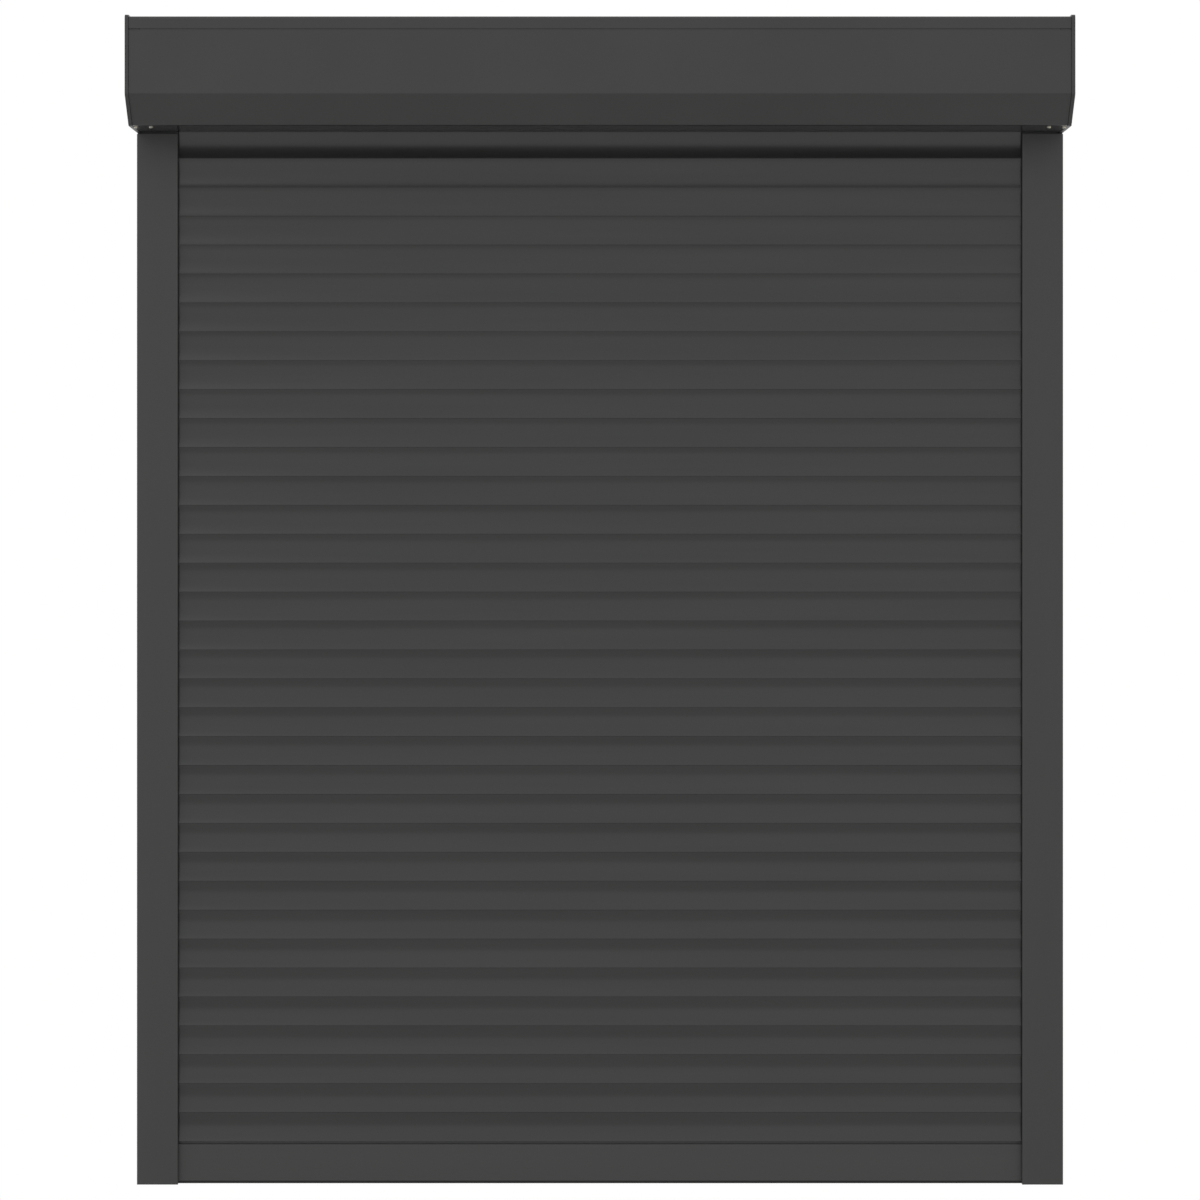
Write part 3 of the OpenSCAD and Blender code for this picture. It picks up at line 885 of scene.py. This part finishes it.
@dataclass
class RoundedSolids(SubAssembly):
    """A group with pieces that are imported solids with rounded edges."""

    edge_mm: float = 0.3
    edge_steps: int = 2

    def takes_rounding(self, edge: BMEdge) -> bool:
        """Says whether a sharp edge is rounded; most groups round them all."""
        return True

    def rounded_copy(self, name: str, node: str, finish: Finish) -> Piece:
        """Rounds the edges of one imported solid.

        Args:
            name: Name of the piece.
            node: Node that it stands for.
            finish: Its finish.

        Returns:
            The piece.
        """
        solid = self.frame["nodes"][node]
        mesh = refined(solid, self.edge_mm, self.edge_steps, self.takes_rounding)
        return Piece(name, mesh, node, finish)

    def rounded_pair(self, name: str, node: str, finish: Finish) -> list[Piece]:
        """Rounds the edges of a solid that each end of the shutter has.

        Args:
            name: Name of the pieces without their side.
            node: Name of the nodes without their side.
            finish: Their finish.

        Returns:
            The left and the right piece.
        """
        words = [side.word for side in Side]
        return [self.rounded_copy(f"{name}_{word}", f"{node}_{word}", finish) for word in words]


@dataclass
class ShutterBox(RoundedSolids):
    """Folded sheets of the box: the upper shell and the removable inspection panel."""

    edge_mm: float = 0.25

    def build(self) -> list[Piece]:
        """Rounds the cut edges of both sheets."""
        sheets = ("upper_shell", "inspection_panel")
        return [self.rounded_copy(f"folded_{sheet}", sheet, SHEET_COAT) for sheet in sheets]


@dataclass
class EndCaps(RoundedSolids):
    """Die cast caps that close the box and plug into the rails."""

    edge_mm: float = 1.1
    edge_steps: int = 3
    plate_mm: float = 4.5
    plain_foot_mm: float = 1.0
    slack_mm: float = 0.05

    def __post_init__(self) -> None:
        """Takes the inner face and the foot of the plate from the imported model."""
        self.inner_m = (span("end_cap_right")[1].x - self.plate_mm - self.slack_mm) * MM
        self.foot_m = (span("inspection_panel")[0].z + self.plain_foot_mm) * MM

    def takes_rounding(self, edge: BMEdge) -> bool:
        """Says whether an edge lies on the outline of the cap plate, above its foot."""
        return edge.is_convex and all(
            abs(v.co.x) > self.inner_m and v.co.z > self.foot_m for v in edge.verts
        )

    def build(self) -> list[Piece]:
        """Rounds the rim of both caps."""
        return self.rounded_pair("cast_cap", "end_cap", CASTING_COAT)


@dataclass
class GuideRails(RoundedSolids):
    """Extruded rails with pile seals at the mouth and flared guides on top.

    A size with v in its name is measured from the rail's front face to the rear.
    """

    seat_mm: float = 8.0
    backing_w_mm: float = 3.8
    backing_v_mm: Point = (2.7, 3.7)
    backing_edge_mm: float = 0.2
    end_gap_mm: float = 0.3
    pile_end_mm: float = 2.0
    tip_v_mm: float = 6.45
    rows: int = 3
    row_width_mm: float = 1.0
    tuft_pitch_mm: float = 1.5
    bristle_r_mm: float = 0.3
    seed: int = 11

    def __post_init__(self) -> None:
        """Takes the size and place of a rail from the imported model."""
        self.low, self.high = span("guide_rail_right")

    def backing(self, x_mm: float, v_mm: Point) -> Mesh:
        """Woven backing strip of a pile seal.

        Args:
            x_mm: Middle of the strip.
            v_mm: Its two faces.

        Returns:
            A closed mesh.
        """
        work = bmesh.new()
        bmesh.ops.create_cube(work, size=1.0)
        size = (self.backing_w_mm, v_mm[1] - v_mm[0], self.high.z - self.end_gap_mm)
        bmesh.ops.scale(work, vec=[s * MM for s in size], verts=work.verts)
        middle = (x_mm, self.low.y + sum(v_mm) / 2, size[2] / 2)
        bmesh.ops.translate(work, vec=[m * MM for m in middle], verts=work.verts)
        edge = self.backing_edge_mm * MM
        bmesh.ops.bevel(work, geom=list(work.edges), offset=edge, segments=1, affect="EDGES")
        return plain_mesh("pile_backing", work)

    def pile(self, x_mm: float, v_mm: float, turn: int, seed: int) -> Mesh:
        """Bristles of one pile seal.

        Args:
            x_mm: Middle of the strip.
            v_mm: Face of the backing.
            turn: Way that the bristles point, -1 to the rear and 1 to the front.
            seed: Seed of the chance lean.

        Returns:
            A mesh of all bristles.
        """
        values = {
            "Foot": Vector((x_mm, self.low.y + v_mm, self.high.z / 2)) * MM,
            "Length": (self.high.z - 2 * self.pile_end_mm) * MM,
            "Width": self.row_width_mm * MM,
            "Rows": self.rows,
            "Tufts": round(self.high.z / self.tuft_pitch_mm),
            "Height": (self.tip_v_mm - self.backing_v_mm[1]) * MM,
            "Thickness": self.bristle_r_mm * MM,
            "Turn": turn * math.pi / 2,
            "Seed": seed,
        }
        return self.makers.pile.make("pile", PILE, values)

    def seals(self) -> list[Piece]:
        """Stands bristles along both lips of both rail mouths.

        Returns:
            One pair of seals for each rail.
        """
        pieces = []
        near, far = self.backing_v_mm
        depth = self.high.y - self.low.y
        lips = ((-1, (near, far), far), (1, (depth - far, depth - near), depth - far))
        for side in Side:
            x = side.value * (self.low.x + self.seat_mm / 2)
            parts = []
            for turn, faces, base in lips:
                parts.append(self.backing(x, faces))
                parts.append(self.pile(x, base, turn, self.seed + side.value + turn))
            name = f"pile_seal_{side.word}"
            pieces.append(Piece(name, settle(joined(name, parts)), f"rail_seals_{side.word}", PILE))
        return pieces

    def build(self) -> list[Piece]:
        """Makes rails, seals and inlet guides."""
        rails = self.rounded_pair("extruded_rail", "guide_rail", RAIL_COAT)
        return rails + self.seals() + self.rounded_pair("moulded_inlet", "inlet_guide", NYLON)


@dataclass(frozen=True)
class Hook:
    """Neck and barbed head that link a profile to the slat above it, in millimetres."""

    neck_a: float = -0.8
    neck_t: float = 0.8
    rise: float = 6.9
    head_t: float = 0.9
    head_w: float = 2.1
    head_r: float = 0.3
    barb_w: float = 0.6
    barb_t: float = 1.7
    barb_r: float = 0.15

    def corners(self, foot_b: float, joint_b: float) -> list[Corner]:
        """Outline of the hook from the front of its foot to the rear.

        Args:
            foot_b: Height of the roof that the hook stands on.
            joint_b: Height of the joint to the slat above.

        Returns:
            Corners from front to rear.
        """
        top = joint_b + self.rise
        front, rear = self.neck_a, self.neck_a + self.neck_t
        tip = self.neck_a + self.head_w
        return [
            Corner(front, foot_b),
            Corner(front, top, self.head_r),
            Corner(tip, top, self.head_r),
            Corner(tip, top - self.barb_t, self.barb_r),
            Corner(tip - self.barb_w, top - self.barb_t, self.barb_r),
            Corner(tip - self.barb_w, top - self.head_t),
            Corner(rear, top - self.head_t),
            Corner(rear, foot_b),
        ]


@dataclass
class Curtain(SubAssembly):
    """Hollow hooked slats, each on a body of its own.

    In a section a runs to the rear from the middle of the slat and b up from its joint.
    """

    gap_mm: float = 0.12
    depth_mm: float = 8.0
    face_r_mm: float = 58.0
    body_mm: float = 5.0
    wall_mm: float = 0.9
    pocket_mm: float = 8.0
    catch_a_mm: float = 0.35
    catch_b_mm: Point = (2.2, 3.1)
    front_edges_mm: Point = (0.25, 0.35)
    rear_edges_mm: Point = (0.8, 0.35)
    mouth_edge_mm: float = 0.2
    pocket_edge_mm: float = 0.3
    hollow_edge_mm: float = 0.4
    hook: Hook = Hook()
    face_steps: int = 22
    outline_steps: int = 4
    hollow_steps: int = 3

    def __post_init__(self) -> None:
        """Takes the number, length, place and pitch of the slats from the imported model."""
        self.slats = sorted(node for node in self.frame["nodes"] if node.startswith("slat_"))
        low, high = span(self.slats[0])
        self.pitch_mm = (span(self.slats[-1])[0].z - low.z) / (len(self.slats) - 1)
        foot = Vector((0, low.y + self.depth_mm / 2, low.z))
        self.ladder = Ladder(2 * high.x, foot, self.pitch_mm)

    def arc(self, r: float, b: float) -> float:
        """Depth of a slat skin.

        Args:
            r: Radius of the skin.
            b: Height on the slat.

        Returns:
            The skin's place from front to rear at that height.
        """
        middle = self.pitch_mm / 2
        centre = -self.depth_mm / 2 - math.sqrt(self.face_r_mm**2 - middle**2)
        return centre + math.sqrt(r * r - (b - middle) ** 2)

    def skin(self, r: float, b0: float, b1: float, ends: Point) -> list[Corner]:
        """Corners along one skin.

        Args:
            r: Radius of the skin.
            b0: Height where it starts.
            b1: Height where it ends.
            ends: Rounding at the start and at the end.

        Returns:
            Corners in order from b0 to b1.
        """
        n = self.face_steps
        heights = [b0 + (b1 - b0) * i / n for i in range(n + 1)]
        radii = [ends[0]] + [0.0] * (n - 1) + [ends[1]]
        return [Corner(self.arc(r, b), b, e) for b, e in zip(heights, radii)]

    def section(self) -> list[Loop]:
        """Outline and hollow of a slat.

        Returns:
            The outline with its link pocket, and the hollow of the body.
        """
        front, rear = self.face_r_mm, self.face_r_mm + self.body_mm
        inner_f, inner_r = front + self.wall_mm, rear - self.wall_mm
        top, roof = self.pitch_mm - self.gap_mm, self.pocket_mm
        catch, (catch_low, catch_high) = self.catch_a_mm, self.catch_b_mm
        mouth, corner = self.mouth_edge_mm, self.pocket_edge_mm
        outline = self.skin(front, 0, top, self.front_edges_mm)
        outline += self.hook.corners(top, self.pitch_mm)
        outline += self.skin(rear, top, 0, self.rear_edges_mm)
        outline += [
            Corner(self.arc(inner_r, 0), 0, mouth),
            Corner(self.arc(inner_r, catch_low), catch_low),
            Corner(catch, catch_low, mouth),
            Corner(catch, catch_high, mouth),
            Corner(self.arc(inner_r, catch_high), catch_high),
            Corner(self.arc(inner_r, roof), roof, corner),
            Corner(self.arc(inner_f, roof), roof, corner),
            Corner(self.arc(inner_f, roof / 2), roof / 2),
            Corner(self.arc(inner_f, 0), 0, mouth),
        ]
        low, high = roof + self.wall_mm, top - self.wall_mm
        ends = (self.hollow_edge_mm, self.hollow_edge_mm)
        hollow = self.skin(inner_f, low, high, ends) + self.skin(inner_r, high, low, ends)
        return [rounded(outline, self.outline_steps), rounded(hollow, self.hollow_steps)]

    def build(self) -> list[Piece]:
        """Draws every slat at its place.

        Returns:
            One piece for each slat body.
        """
        section = flat_section("slat_section", self.section())
        pieces = []
        for rung, slat in enumerate(self.slats):
            name = f"hooked_{slat}"
            mesh = self.makers.profile.draw(name, section, self.ladder, SLAT_COAT, rung)
            pieces.append(Piece(name, mesh, slat, SLAT_COAT))
        bpy.data.objects.remove(section)
        return pieces


@dataclass
class BottomBar(RoundedSolids):
    """End bar of the curtain with its rubber seal and nylon glides.

    In a section a runs to the rear from the middle of the bar and b up from its foot. The
    roundings of the seal run from its foot to its crown, and edge_mm is that of the glides.
    """

    edge_mm: float = 0.6
    edge_steps: int = 3
    wall_mm: float = 1.4
    floor_mm: float = 5.6
    corner_mm: float = 1.2
    joint_mm: float = 3.6
    slot_half_mm: float = 1.6
    tee_half_mm: float = 3.0
    tee_mm: Point = (1.4, 4.2)
    slot_edge_mm: float = 0.15
    hollow_edge_mm: float = 0.5
    seal_half_mm: float = 4.0
    seal_gap_mm: float = 0.3
    seal_edges_mm: tuple[float, ...] = (0.4, 0.6, 0.2, 0.0, 0.4, 0.6)
    hook: Hook = Hook()
    outline_steps: int = 5
    hollow_steps: int = 3

    def __post_init__(self) -> None:
        """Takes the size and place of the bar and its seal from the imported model."""
        low, high = span("bottom_bar")
        self.ladder = Ladder(2 * high.x, Vector((0, (low.y + high.y) / 2, low.z)))
        self.half_t_mm = (high.y - low.y) / 2
        self.link_mm = high.z - self.hook.rise - low.z
        self.top_mm = self.link_mm - self.joint_mm
        self.rest_mm = span("sill_seal")[0].z - low.z

    def bar_section(self) -> list[Loop]:
        """Outline with the seal slot, and the hollow above it.

        Returns:
            The outline and the hollow.
        """
        t, r = self.half_t_mm, self.corner_mm
        tee_low, tee_high = self.tee_mm
        outline = [Corner(-t, 0, r), Corner(-t, self.top_mm, r)]
        outline += self.hook.corners(self.top_mm, self.link_mm)
        outline += [Corner(t, self.top_mm, r), Corner(t, 0, r)]
        rear = [
            (self.slot_half_mm, 0),
            (self.slot_half_mm, tee_low),
            (self.tee_half_mm, tee_low),
            (self.tee_half_mm, tee_high),
        ]
        outline += [Corner(a, b, self.slot_edge_mm) for a, b in rear]
        outline += [Corner(-a, b, self.slot_edge_mm) for a, b in reversed(rear)]
        inner = t - self.wall_mm
        low, high = self.floor_mm, self.top_mm - self.wall_mm
        ring = [(-inner, low), (-inner, high), (inner, high), (inner, low)]
        hollow = [Corner(a, b, self.hollow_edge_mm) for a, b in ring]
        return [rounded(outline, self.outline_steps), rounded(hollow, self.hollow_steps)]

    def seal_section(self) -> list[Loop]:
        """Rounded lip on a stem with a head that sits in the slot.

        Returns:
            One outline.
        """
        lip, gap = -self.seal_half_mm, self.seal_gap_mm
        stem, head = gap - self.slot_half_mm, gap - self.tee_half_mm
        neck, crown = self.tee_mm[0] + gap, self.tee_mm[1] - gap
        places = [(lip, self.rest_mm), (lip, -gap), (stem, -gap)]
        places += [(stem, neck), (head, neck), (head, crown)]
        front = [Corner(a, b, r) for (a, b), r in zip(places, self.seal_edges_mm)]
        rear = [Corner(-c.a, c.b, c.r) for c in reversed(front)]
        return [rounded(front + rear, self.outline_steps)]

    def build(self) -> list[Piece]:
        """Makes bar, seal and glides.

        Returns:
            The three pieces.
        """
        pieces = []
        profiles = (
            ("extruded_bottom_bar", self.bar_section(), "bottom_bar", BAR_COAT),
            ("rubber_sill_seal", self.seal_section(), "sill_seal", SEAL_RUBBER),
        )
        for name, loops, node, finish in profiles:
            section = flat_section(f"{name}_section", loops)
            mesh = self.makers.profile.draw(name, section, self.ladder, finish)
            pieces.append(Piece(name, mesh, node, finish))
            bpy.data.objects.remove(section)
        pieces.append(self.rounded_copy("moulded_end_glides", "bar_end_glides", NYLON))
        return pieces


@dataclass
class RollerDrive(SubAssembly):
    """Shaft, idle end, motor and hangers inside the box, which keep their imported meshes."""

    zinc: tuple[str, ...] = ("octagon_shaft", "motor_tube", "motor_bracket")
    steel: tuple[str, ...] = ("idler_bearing", "hanger_springs")
    nylon: tuple[str, ...] = ("idler_capsule", "drive_wheel", "crown_ring", "motor_head")

    def dress(self) -> None:
        """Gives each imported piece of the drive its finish."""
        for nodes, finish in ((self.zinc, ZINC), (self.steel, BARE_STEEL), (self.nylon, NYLON)):
            for node in nodes:
                for slot in self.frame["nodes"][node].material_slots:
                    slot.material = finish.material()
                log.info("%s: packed mesh in %s", node, finish.name)


@dataclass(frozen=True)
class Screw:
    """Pan head with a cross recess on a threaded shank, head down at the origin."""

    head_r_mm: float = 2.8
    head_t_mm: float = 2.0
    crown_r_mm: float = 1.6
    brim_r_mm: float = 0.1
    neck_r_mm: float = 1.35
    core_r_mm: float = 1.1
    thread_r_mm: float = 1.45
    thread_foot_mm: float = 0.5
    thread_pitch_mm: float = 1.2
    flank_mm: float = 0.45
    crest_mm: float = 0.15
    turns: int = 6
    length_mm: float = 9.0
    cross_mm: Place = (3.2, 0.75, 2.2)
    cross_taper: float = 0.45
    arc_steps: int = 6
    steps: int = 28

    def outline(self) -> Loop:
        """Half section from the crown of the head to the point.

        Returns:
            Radius and height in millimetres.
        """
        r, t = self.head_r_mm, self.head_t_mm
        head = [Corner(0, -t), Corner(r, -t, self.crown_r_mm), Corner(r, 0, self.brim_r_mm)]
        points = rounded(head + [Corner(self.neck_r_mm, 0)], self.arc_steps)
        core, crest = self.core_r_mm, self.thread_r_mm
        up, across = self.flank_mm, self.flank_mm + self.crest_mm
        ridge = ((core, 0.0), (crest, up), (crest, across), (core, across + up))
        for turn in range(self.turns):
            foot = self.thread_foot_mm + self.thread_pitch_mm * turn
            points += [(radius, foot + rise) for radius, rise in ridge]
        return points + [(0, self.length_mm)]

    def cross(self) -> Object:
        """Two tapering bars that cut the recess.

        Returns:
            Object for the cut.
        """
        work = bmesh.new()
        for turn in (0, math.pi / 2):
            made = bmesh.ops.create_cube(work, size=1.0)["verts"]
            bmesh.ops.scale(work, vec=[c * MM for c in self.cross_mm], verts=made)
            for vert in made:
                if vert.co.z > 0:
                    vert.co.x *= self.cross_taper
            bmesh.ops.rotate(work, matrix=Matrix.Rotation(turn, 3, "Z"), verts=made)
            bmesh.ops.translate(work, vec=(0, 0, -self.head_t_mm * MM), verts=made)
        return in_scene("cross", plain_mesh("cross", work))

    def build(self) -> Object:
        """Turns the screw and cuts its recess.

        Returns:
            Object that a fastener tree repeats.
        """
        blank = in_scene("screw", lathe("screw", self.outline(), self.steps))
        cross = self.cross()
        cut = blank.modifiers.new("recess", "BOOLEAN")
        cut.object = cross
        cut.operation = "DIFFERENCE"
        cut.solver = "EXACT"
        cut.use_self = True
        mesh = settle(evaluated_mesh(blank))
        bpy.data.objects.remove(cross)
        return in_scene("cross_recess_screw", mesh)


@dataclass(frozen=True)
class Rivet:
    """Domed blind rivet with the broken mandrel in its middle, head down at the origin."""

    head_r_mm: float = 3.2
    dome_mm: float = 1.0
    brim_mm: float = 0.1
    mouth_r_mm: float = 1.0
    mandrel_r_mm: float = 0.8
    mandrel_t_mm: float = 0.72
    shank_r_mm: float = 1.55
    length_mm: float = 5.0
    point_r_mm: float = 1.2
    point_mm: float = 0.4
    dome_steps: int = 8
    steps: int = 28

    def build(self) -> Object:
        """Turns the rivet, whose dome is a quarter of an ellipse.

        Returns:
            Object that a fastener tree repeats.
        """
        r, n = self.head_r_mm, self.dome_steps
        first = math.asin(self.mouth_r_mm / r)
        angles = [first + (math.pi / 2 - first) * k / n for k in range(n + 1)]
        outline = [(0, -self.mandrel_t_mm), (self.mandrel_r_mm, -self.mandrel_t_mm)]
        outline += [(r * math.sin(a), -self.brim_mm - self.dome_mm * math.cos(a)) for a in angles]
        outline += [(r, 0), (self.shank_r_mm, 0), (self.shank_r_mm, self.length_mm - self.point_mm)]
        outline += [(self.point_r_mm, self.length_mm), (0, self.length_mm)]
        return in_scene("domed_rivet", lathe("domed_rivet", outline, self.steps))


@dataclass(frozen=True)
class Grommet:
    """Rubber ring that lines the cable hole in the rear sheet.

    The outer flange lies on the sheet and the inner one, with rounder edges, behind it.
    """

    bore_r_mm: float = 3.5
    flange_r_mm: float = 7.6
    neck_r_mm: float = 5.9
    flange_mm: float = 1.4
    sheet_mm: float = 1.2
    bore_edges_mm: Point = (0.4, 0.6)
    flange_edges_mm: Point = (0.5, 0.9)
    lip_edge_mm: float = 0.1
    arc_steps: int = 5
    steps: int = 48

    def build(self) -> Piece:
        """Turns the ring and sets it into its hole.

        Returns:
            The grommet.
        """
        bore, rim, neck = self.bore_r_mm, self.flange_r_mm, self.neck_r_mm
        low, high = -self.flange_mm, self.sheet_mm + self.flange_mm
        ring = [
            Corner(bore, low, self.bore_edges_mm[0]),
            Corner(rim, low, self.flange_edges_mm[0]),
            Corner(rim, 0),
            Corner(neck, 0),
            Corner(neck, self.sheet_mm),
            Corner(rim, self.sheet_mm, self.lip_edge_mm),
            Corner(rim, high, self.flange_edges_mm[1]),
            Corner(bore, high, self.bore_edges_mm[1]),
        ]
        outline = rounded(ring, self.arc_steps)
        mesh = lathe("moulded_cable_grommet", outline, self.steps, ring=True)
        first, last = span("cable_grommet")
        seat = (first + last) / 2
        seat.y = first.y + self.flange_mm
        mesh.transform(Matrix.Translation(seat * MM) @ Matrix.Rotation(-math.pi / 2, 4, "X"))
        return Piece(mesh.name, mesh, "cable_grommet", GROMMET_RUBBER)


@dataclass
class Fasteners(SubAssembly):
    """Screws of panel and motor bracket, rivets of the shell, grommet of the cable outlet.

    Insets run inwards from the outer face of an end cap.
    """

    panel_insets_mm: Point = (7.5, 27.0)
    panel_depth_mm: float = 50.5
    bracket_inset_mm: float = 14.0
    bracket_hole_mm: float = 28.0
    rivet_inset_mm: float = 12.0
    rivet_edge_mm: float = 31.0
    seed: int = 5

    def __post_init__(self) -> None:
        """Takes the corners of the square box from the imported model."""
        self.low, self.high = span("end_cap_right")
        self.low.z = self.high.z - (self.high.y - self.low.y)

    def screw_seats(self) -> list[tuple[Place, Vector]]:
        """Two screws under each end of the panel and four in the motor bracket.

        Returns:
            Place and way of each screw.
        """
        panel_z = span("inspection_panel")[0].z
        axis_z = sum(corner.z for corner in span("octagon_shaft")) / 2
        y = self.low.y + self.panel_depth_mm
        seats = [
            ((side.value * (self.high.x - inset), y, panel_z), UP)
            for side in Side
            for inset in self.panel_insets_mm
        ]
        x = self.high.x - self.bracket_inset_mm
        holes = (-self.bracket_hole_mm, self.bracket_hole_mm)
        seats += [((x, dy, axis_z + dz), Vector((1, 0, 0))) for dy in holes for dz in holes]
        return seats

    def rivet_seats(self) -> list[tuple[Place, Vector]]:
        """Two rivets in the rear and two in the top of the shell, at each end.

        Returns:
            Place and way of each rivet.
        """
        shell = span("upper_shell")[1]
        ends = [side.value * (self.high.x - self.rivet_inset_mm) for side in Side]
        low, high = self.low, self.high
        heights = (low.z + self.rivet_edge_mm, high.z - self.rivet_edge_mm)
        depths = (low.y + self.rivet_edge_mm, high.y - self.rivet_edge_mm)
        seats = [((x, shell.y, z), Vector((0, -1, 0))) for x in ends for z in heights]
        seats += [((x, y, shell.z), -UP) for x in ends for y in depths]
        return seats

    def build(self) -> list[Piece]:
        """Sets the grommet, the screws and the rivets.

        Returns:
            One piece for each kind.
        """
        pieces = [Grommet().build()]
        kinds = (
            ("cross_recess_screws", Screw(), self.screw_seats(), "cap_screws", ZINC),
            ("domed_rivets", Rivet(), self.rivet_seats(), "shell_rivets", SHEET_COAT),
        )
        for name, kind, seats, node, finish in kinds:
            mesh = self.makers.fasteners.spread(name, kind.build(), seats, self.seed, finish)
            pieces.append(Piece(name, mesh, node, finish))
        return pieces


@dataclass
class Studio:
    """White surround, pale floor, soft key light and the camera of the photograph."""

    focal_mm: float = 102.93
    sensor_mm: float = 36.0
    camera_mm: Place = (0.0, -4398.5, 881.8)
    shift_y: float = -0.08
    floor_mm: Place = (0.0, -600.0, -1000.0)
    floor_r_mm: float = 4900.0
    floor_fade_mm: float = 3700.0
    floor_steps: int = 128
    sky_light: float = 1.1
    ground_light: float = 0.9
    horizon: float = 0.25
    key_power: float = 10.0
    key_size_mm: Point = (3000.0, 2400.0)
    key_mm: Place = (-2600.0, -4200.0, 3400.0)

    def camera(self) -> None:
        """Level camera in front of the shutter, with the picture shifted down a little."""
        data = bpy.data.cameras.new("front_camera")
        data.lens = self.focal_mm
        data.sensor_width = self.sensor_mm
        data.shift_y = self.shift_y
        camera = in_scene("front_camera", data)
        camera.location = Vector(self.camera_mm) * MM
        camera.rotation_euler = (math.pi / 2, 0, 0)
        bpy.context.scene.camera = camera

    def world(self) -> None:
        """Soft light from above and less from below; white where it is looked at."""
        world = bpy.data.worlds.new("white_studio")
        world.use_nodes = True
        tree = world.node_tree
        tree.nodes.clear()
        way = add_node(tree, "ShaderNodeTexCoord").outputs["Generated"]
        parts = add_node(tree, "ShaderNodeSeparateXYZ", links={"Vector": way})
        level = add_node(
            tree,
            "ShaderNodeMapRange",
            {
                "From Min": -self.horizon,
                "From Max": self.horizon,
                "To Min": self.ground_light,
                "To Max": self.sky_light,
            },
            {"Value": parts.outputs["Z"]},
        )
        ambient = add_node(tree, "ShaderNodeBackground", {"Color": WHITE}, {"Strength": level})
        white = add_node(tree, "ShaderNodeBackground", {"Color": WHITE, "Strength": 1.0})
        path = add_node(tree, "ShaderNodeLightPath").outputs
        seen = path["Is Camera Ray"]
        for ray in ("Is Glossy Ray", "Is Transmission Ray"):
            seen = add_node(tree, "ShaderNodeMath", links={0: seen, 1: path[ray]}, operation="MAXIMUM")
        both = add_node(tree, "ShaderNodeMixShader", links={0: seen, 1: ambient, 2: white})
        add_node(tree, "ShaderNodeOutputWorld", links={"Surface": both})
        bpy.context.scene.world = world

    def floor(self) -> None:
        """Pale round floor below the shutter, out of the front camera's view."""
        work = bmesh.new()
        radius = self.floor_r_mm * MM
        bmesh.ops.create_circle(work, cap_ends=True, segments=self.floor_steps, radius=radius)
        bmesh.ops.translate(work, vec=Vector(self.floor_mm) * MM, verts=work.verts)
        mesh = plain_mesh("studio_floor", work)
        mesh.materials.append(self.fading_paint())
        in_scene("studio_floor", mesh)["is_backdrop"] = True

    def fading_paint(self) -> Material:
        """Floor paint that runs out into the white surround at the rim.

        Returns:
            The floor's material.
        """
        material = FLOOR_PAINT.material()
        tree = material.node_tree
        place = add_node(tree, "ShaderNodeTexCoord").outputs["Object"]
        arm = add_node(
            tree,
            "ShaderNodeVectorMath",
            {1: Vector(self.floor_mm) * MM},
            {0: place},
            operation="DISTANCE",
        )
        fade = add_node(
            tree,
            "ShaderNodeMapRange",
            {"From Min": self.floor_fade_mm * MM, "From Max": self.floor_r_mm * MM},
            {"Value": arm.outputs["Value"]},
        )
        white = add_node(tree, "ShaderNodeEmission", {"Strength": 1.0})
        paint = tree.nodes["Principled BSDF"]
        mixed = add_node(tree, "ShaderNodeMixShader", links={0: fade, 1: paint, 2: white})
        tree.links.new(mixed.outputs[0], tree.nodes["Material Output"].inputs["Surface"])
        return material

    def key(self) -> None:
        """Large soft box, high at the front left, aimed at the middle of the shutter."""
        data = bpy.data.lights.new("soft_key", "AREA")
        data.shape = "RECTANGLE"
        data.size, data.size_y = [side * MM for side in self.key_size_mm]
        data.energy = self.key_power
        lamp = in_scene("soft_key", data)
        lamp.location = Vector(self.key_mm) * MM
        low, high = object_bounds()
        aim = (low + high) / 2 - lamp.location
        lamp.rotation_euler = aim.to_track_quat("-Z", "Y").to_euler()

    def build(self) -> None:
        """Sets up camera, surround, floor, key and the plain view transform."""
        self.camera()
        self.world()
        self.floor()
        self.key()
        bpy.context.scene.view_settings.view_transform = "Standard"


def main() -> None:
    """Builds the shutter's pieces in order, dresses them and sets up the studio."""
    logging.basicConfig(level=logging.INFO, format="%(name)s %(message)s")
    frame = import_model()
    Studio().build()
    makers = Makers()
    pieces: list[Piece] = []
    for group in (ShutterBox, EndCaps, GuideRails, Curtain, BottomBar, Fasteners):
        pieces += group(frame, makers).build()
    for piece in pieces:
        piece.place(frame["record"])
    RollerDrive(frame, makers).dress()


if __name__ == "__main__":
    main()
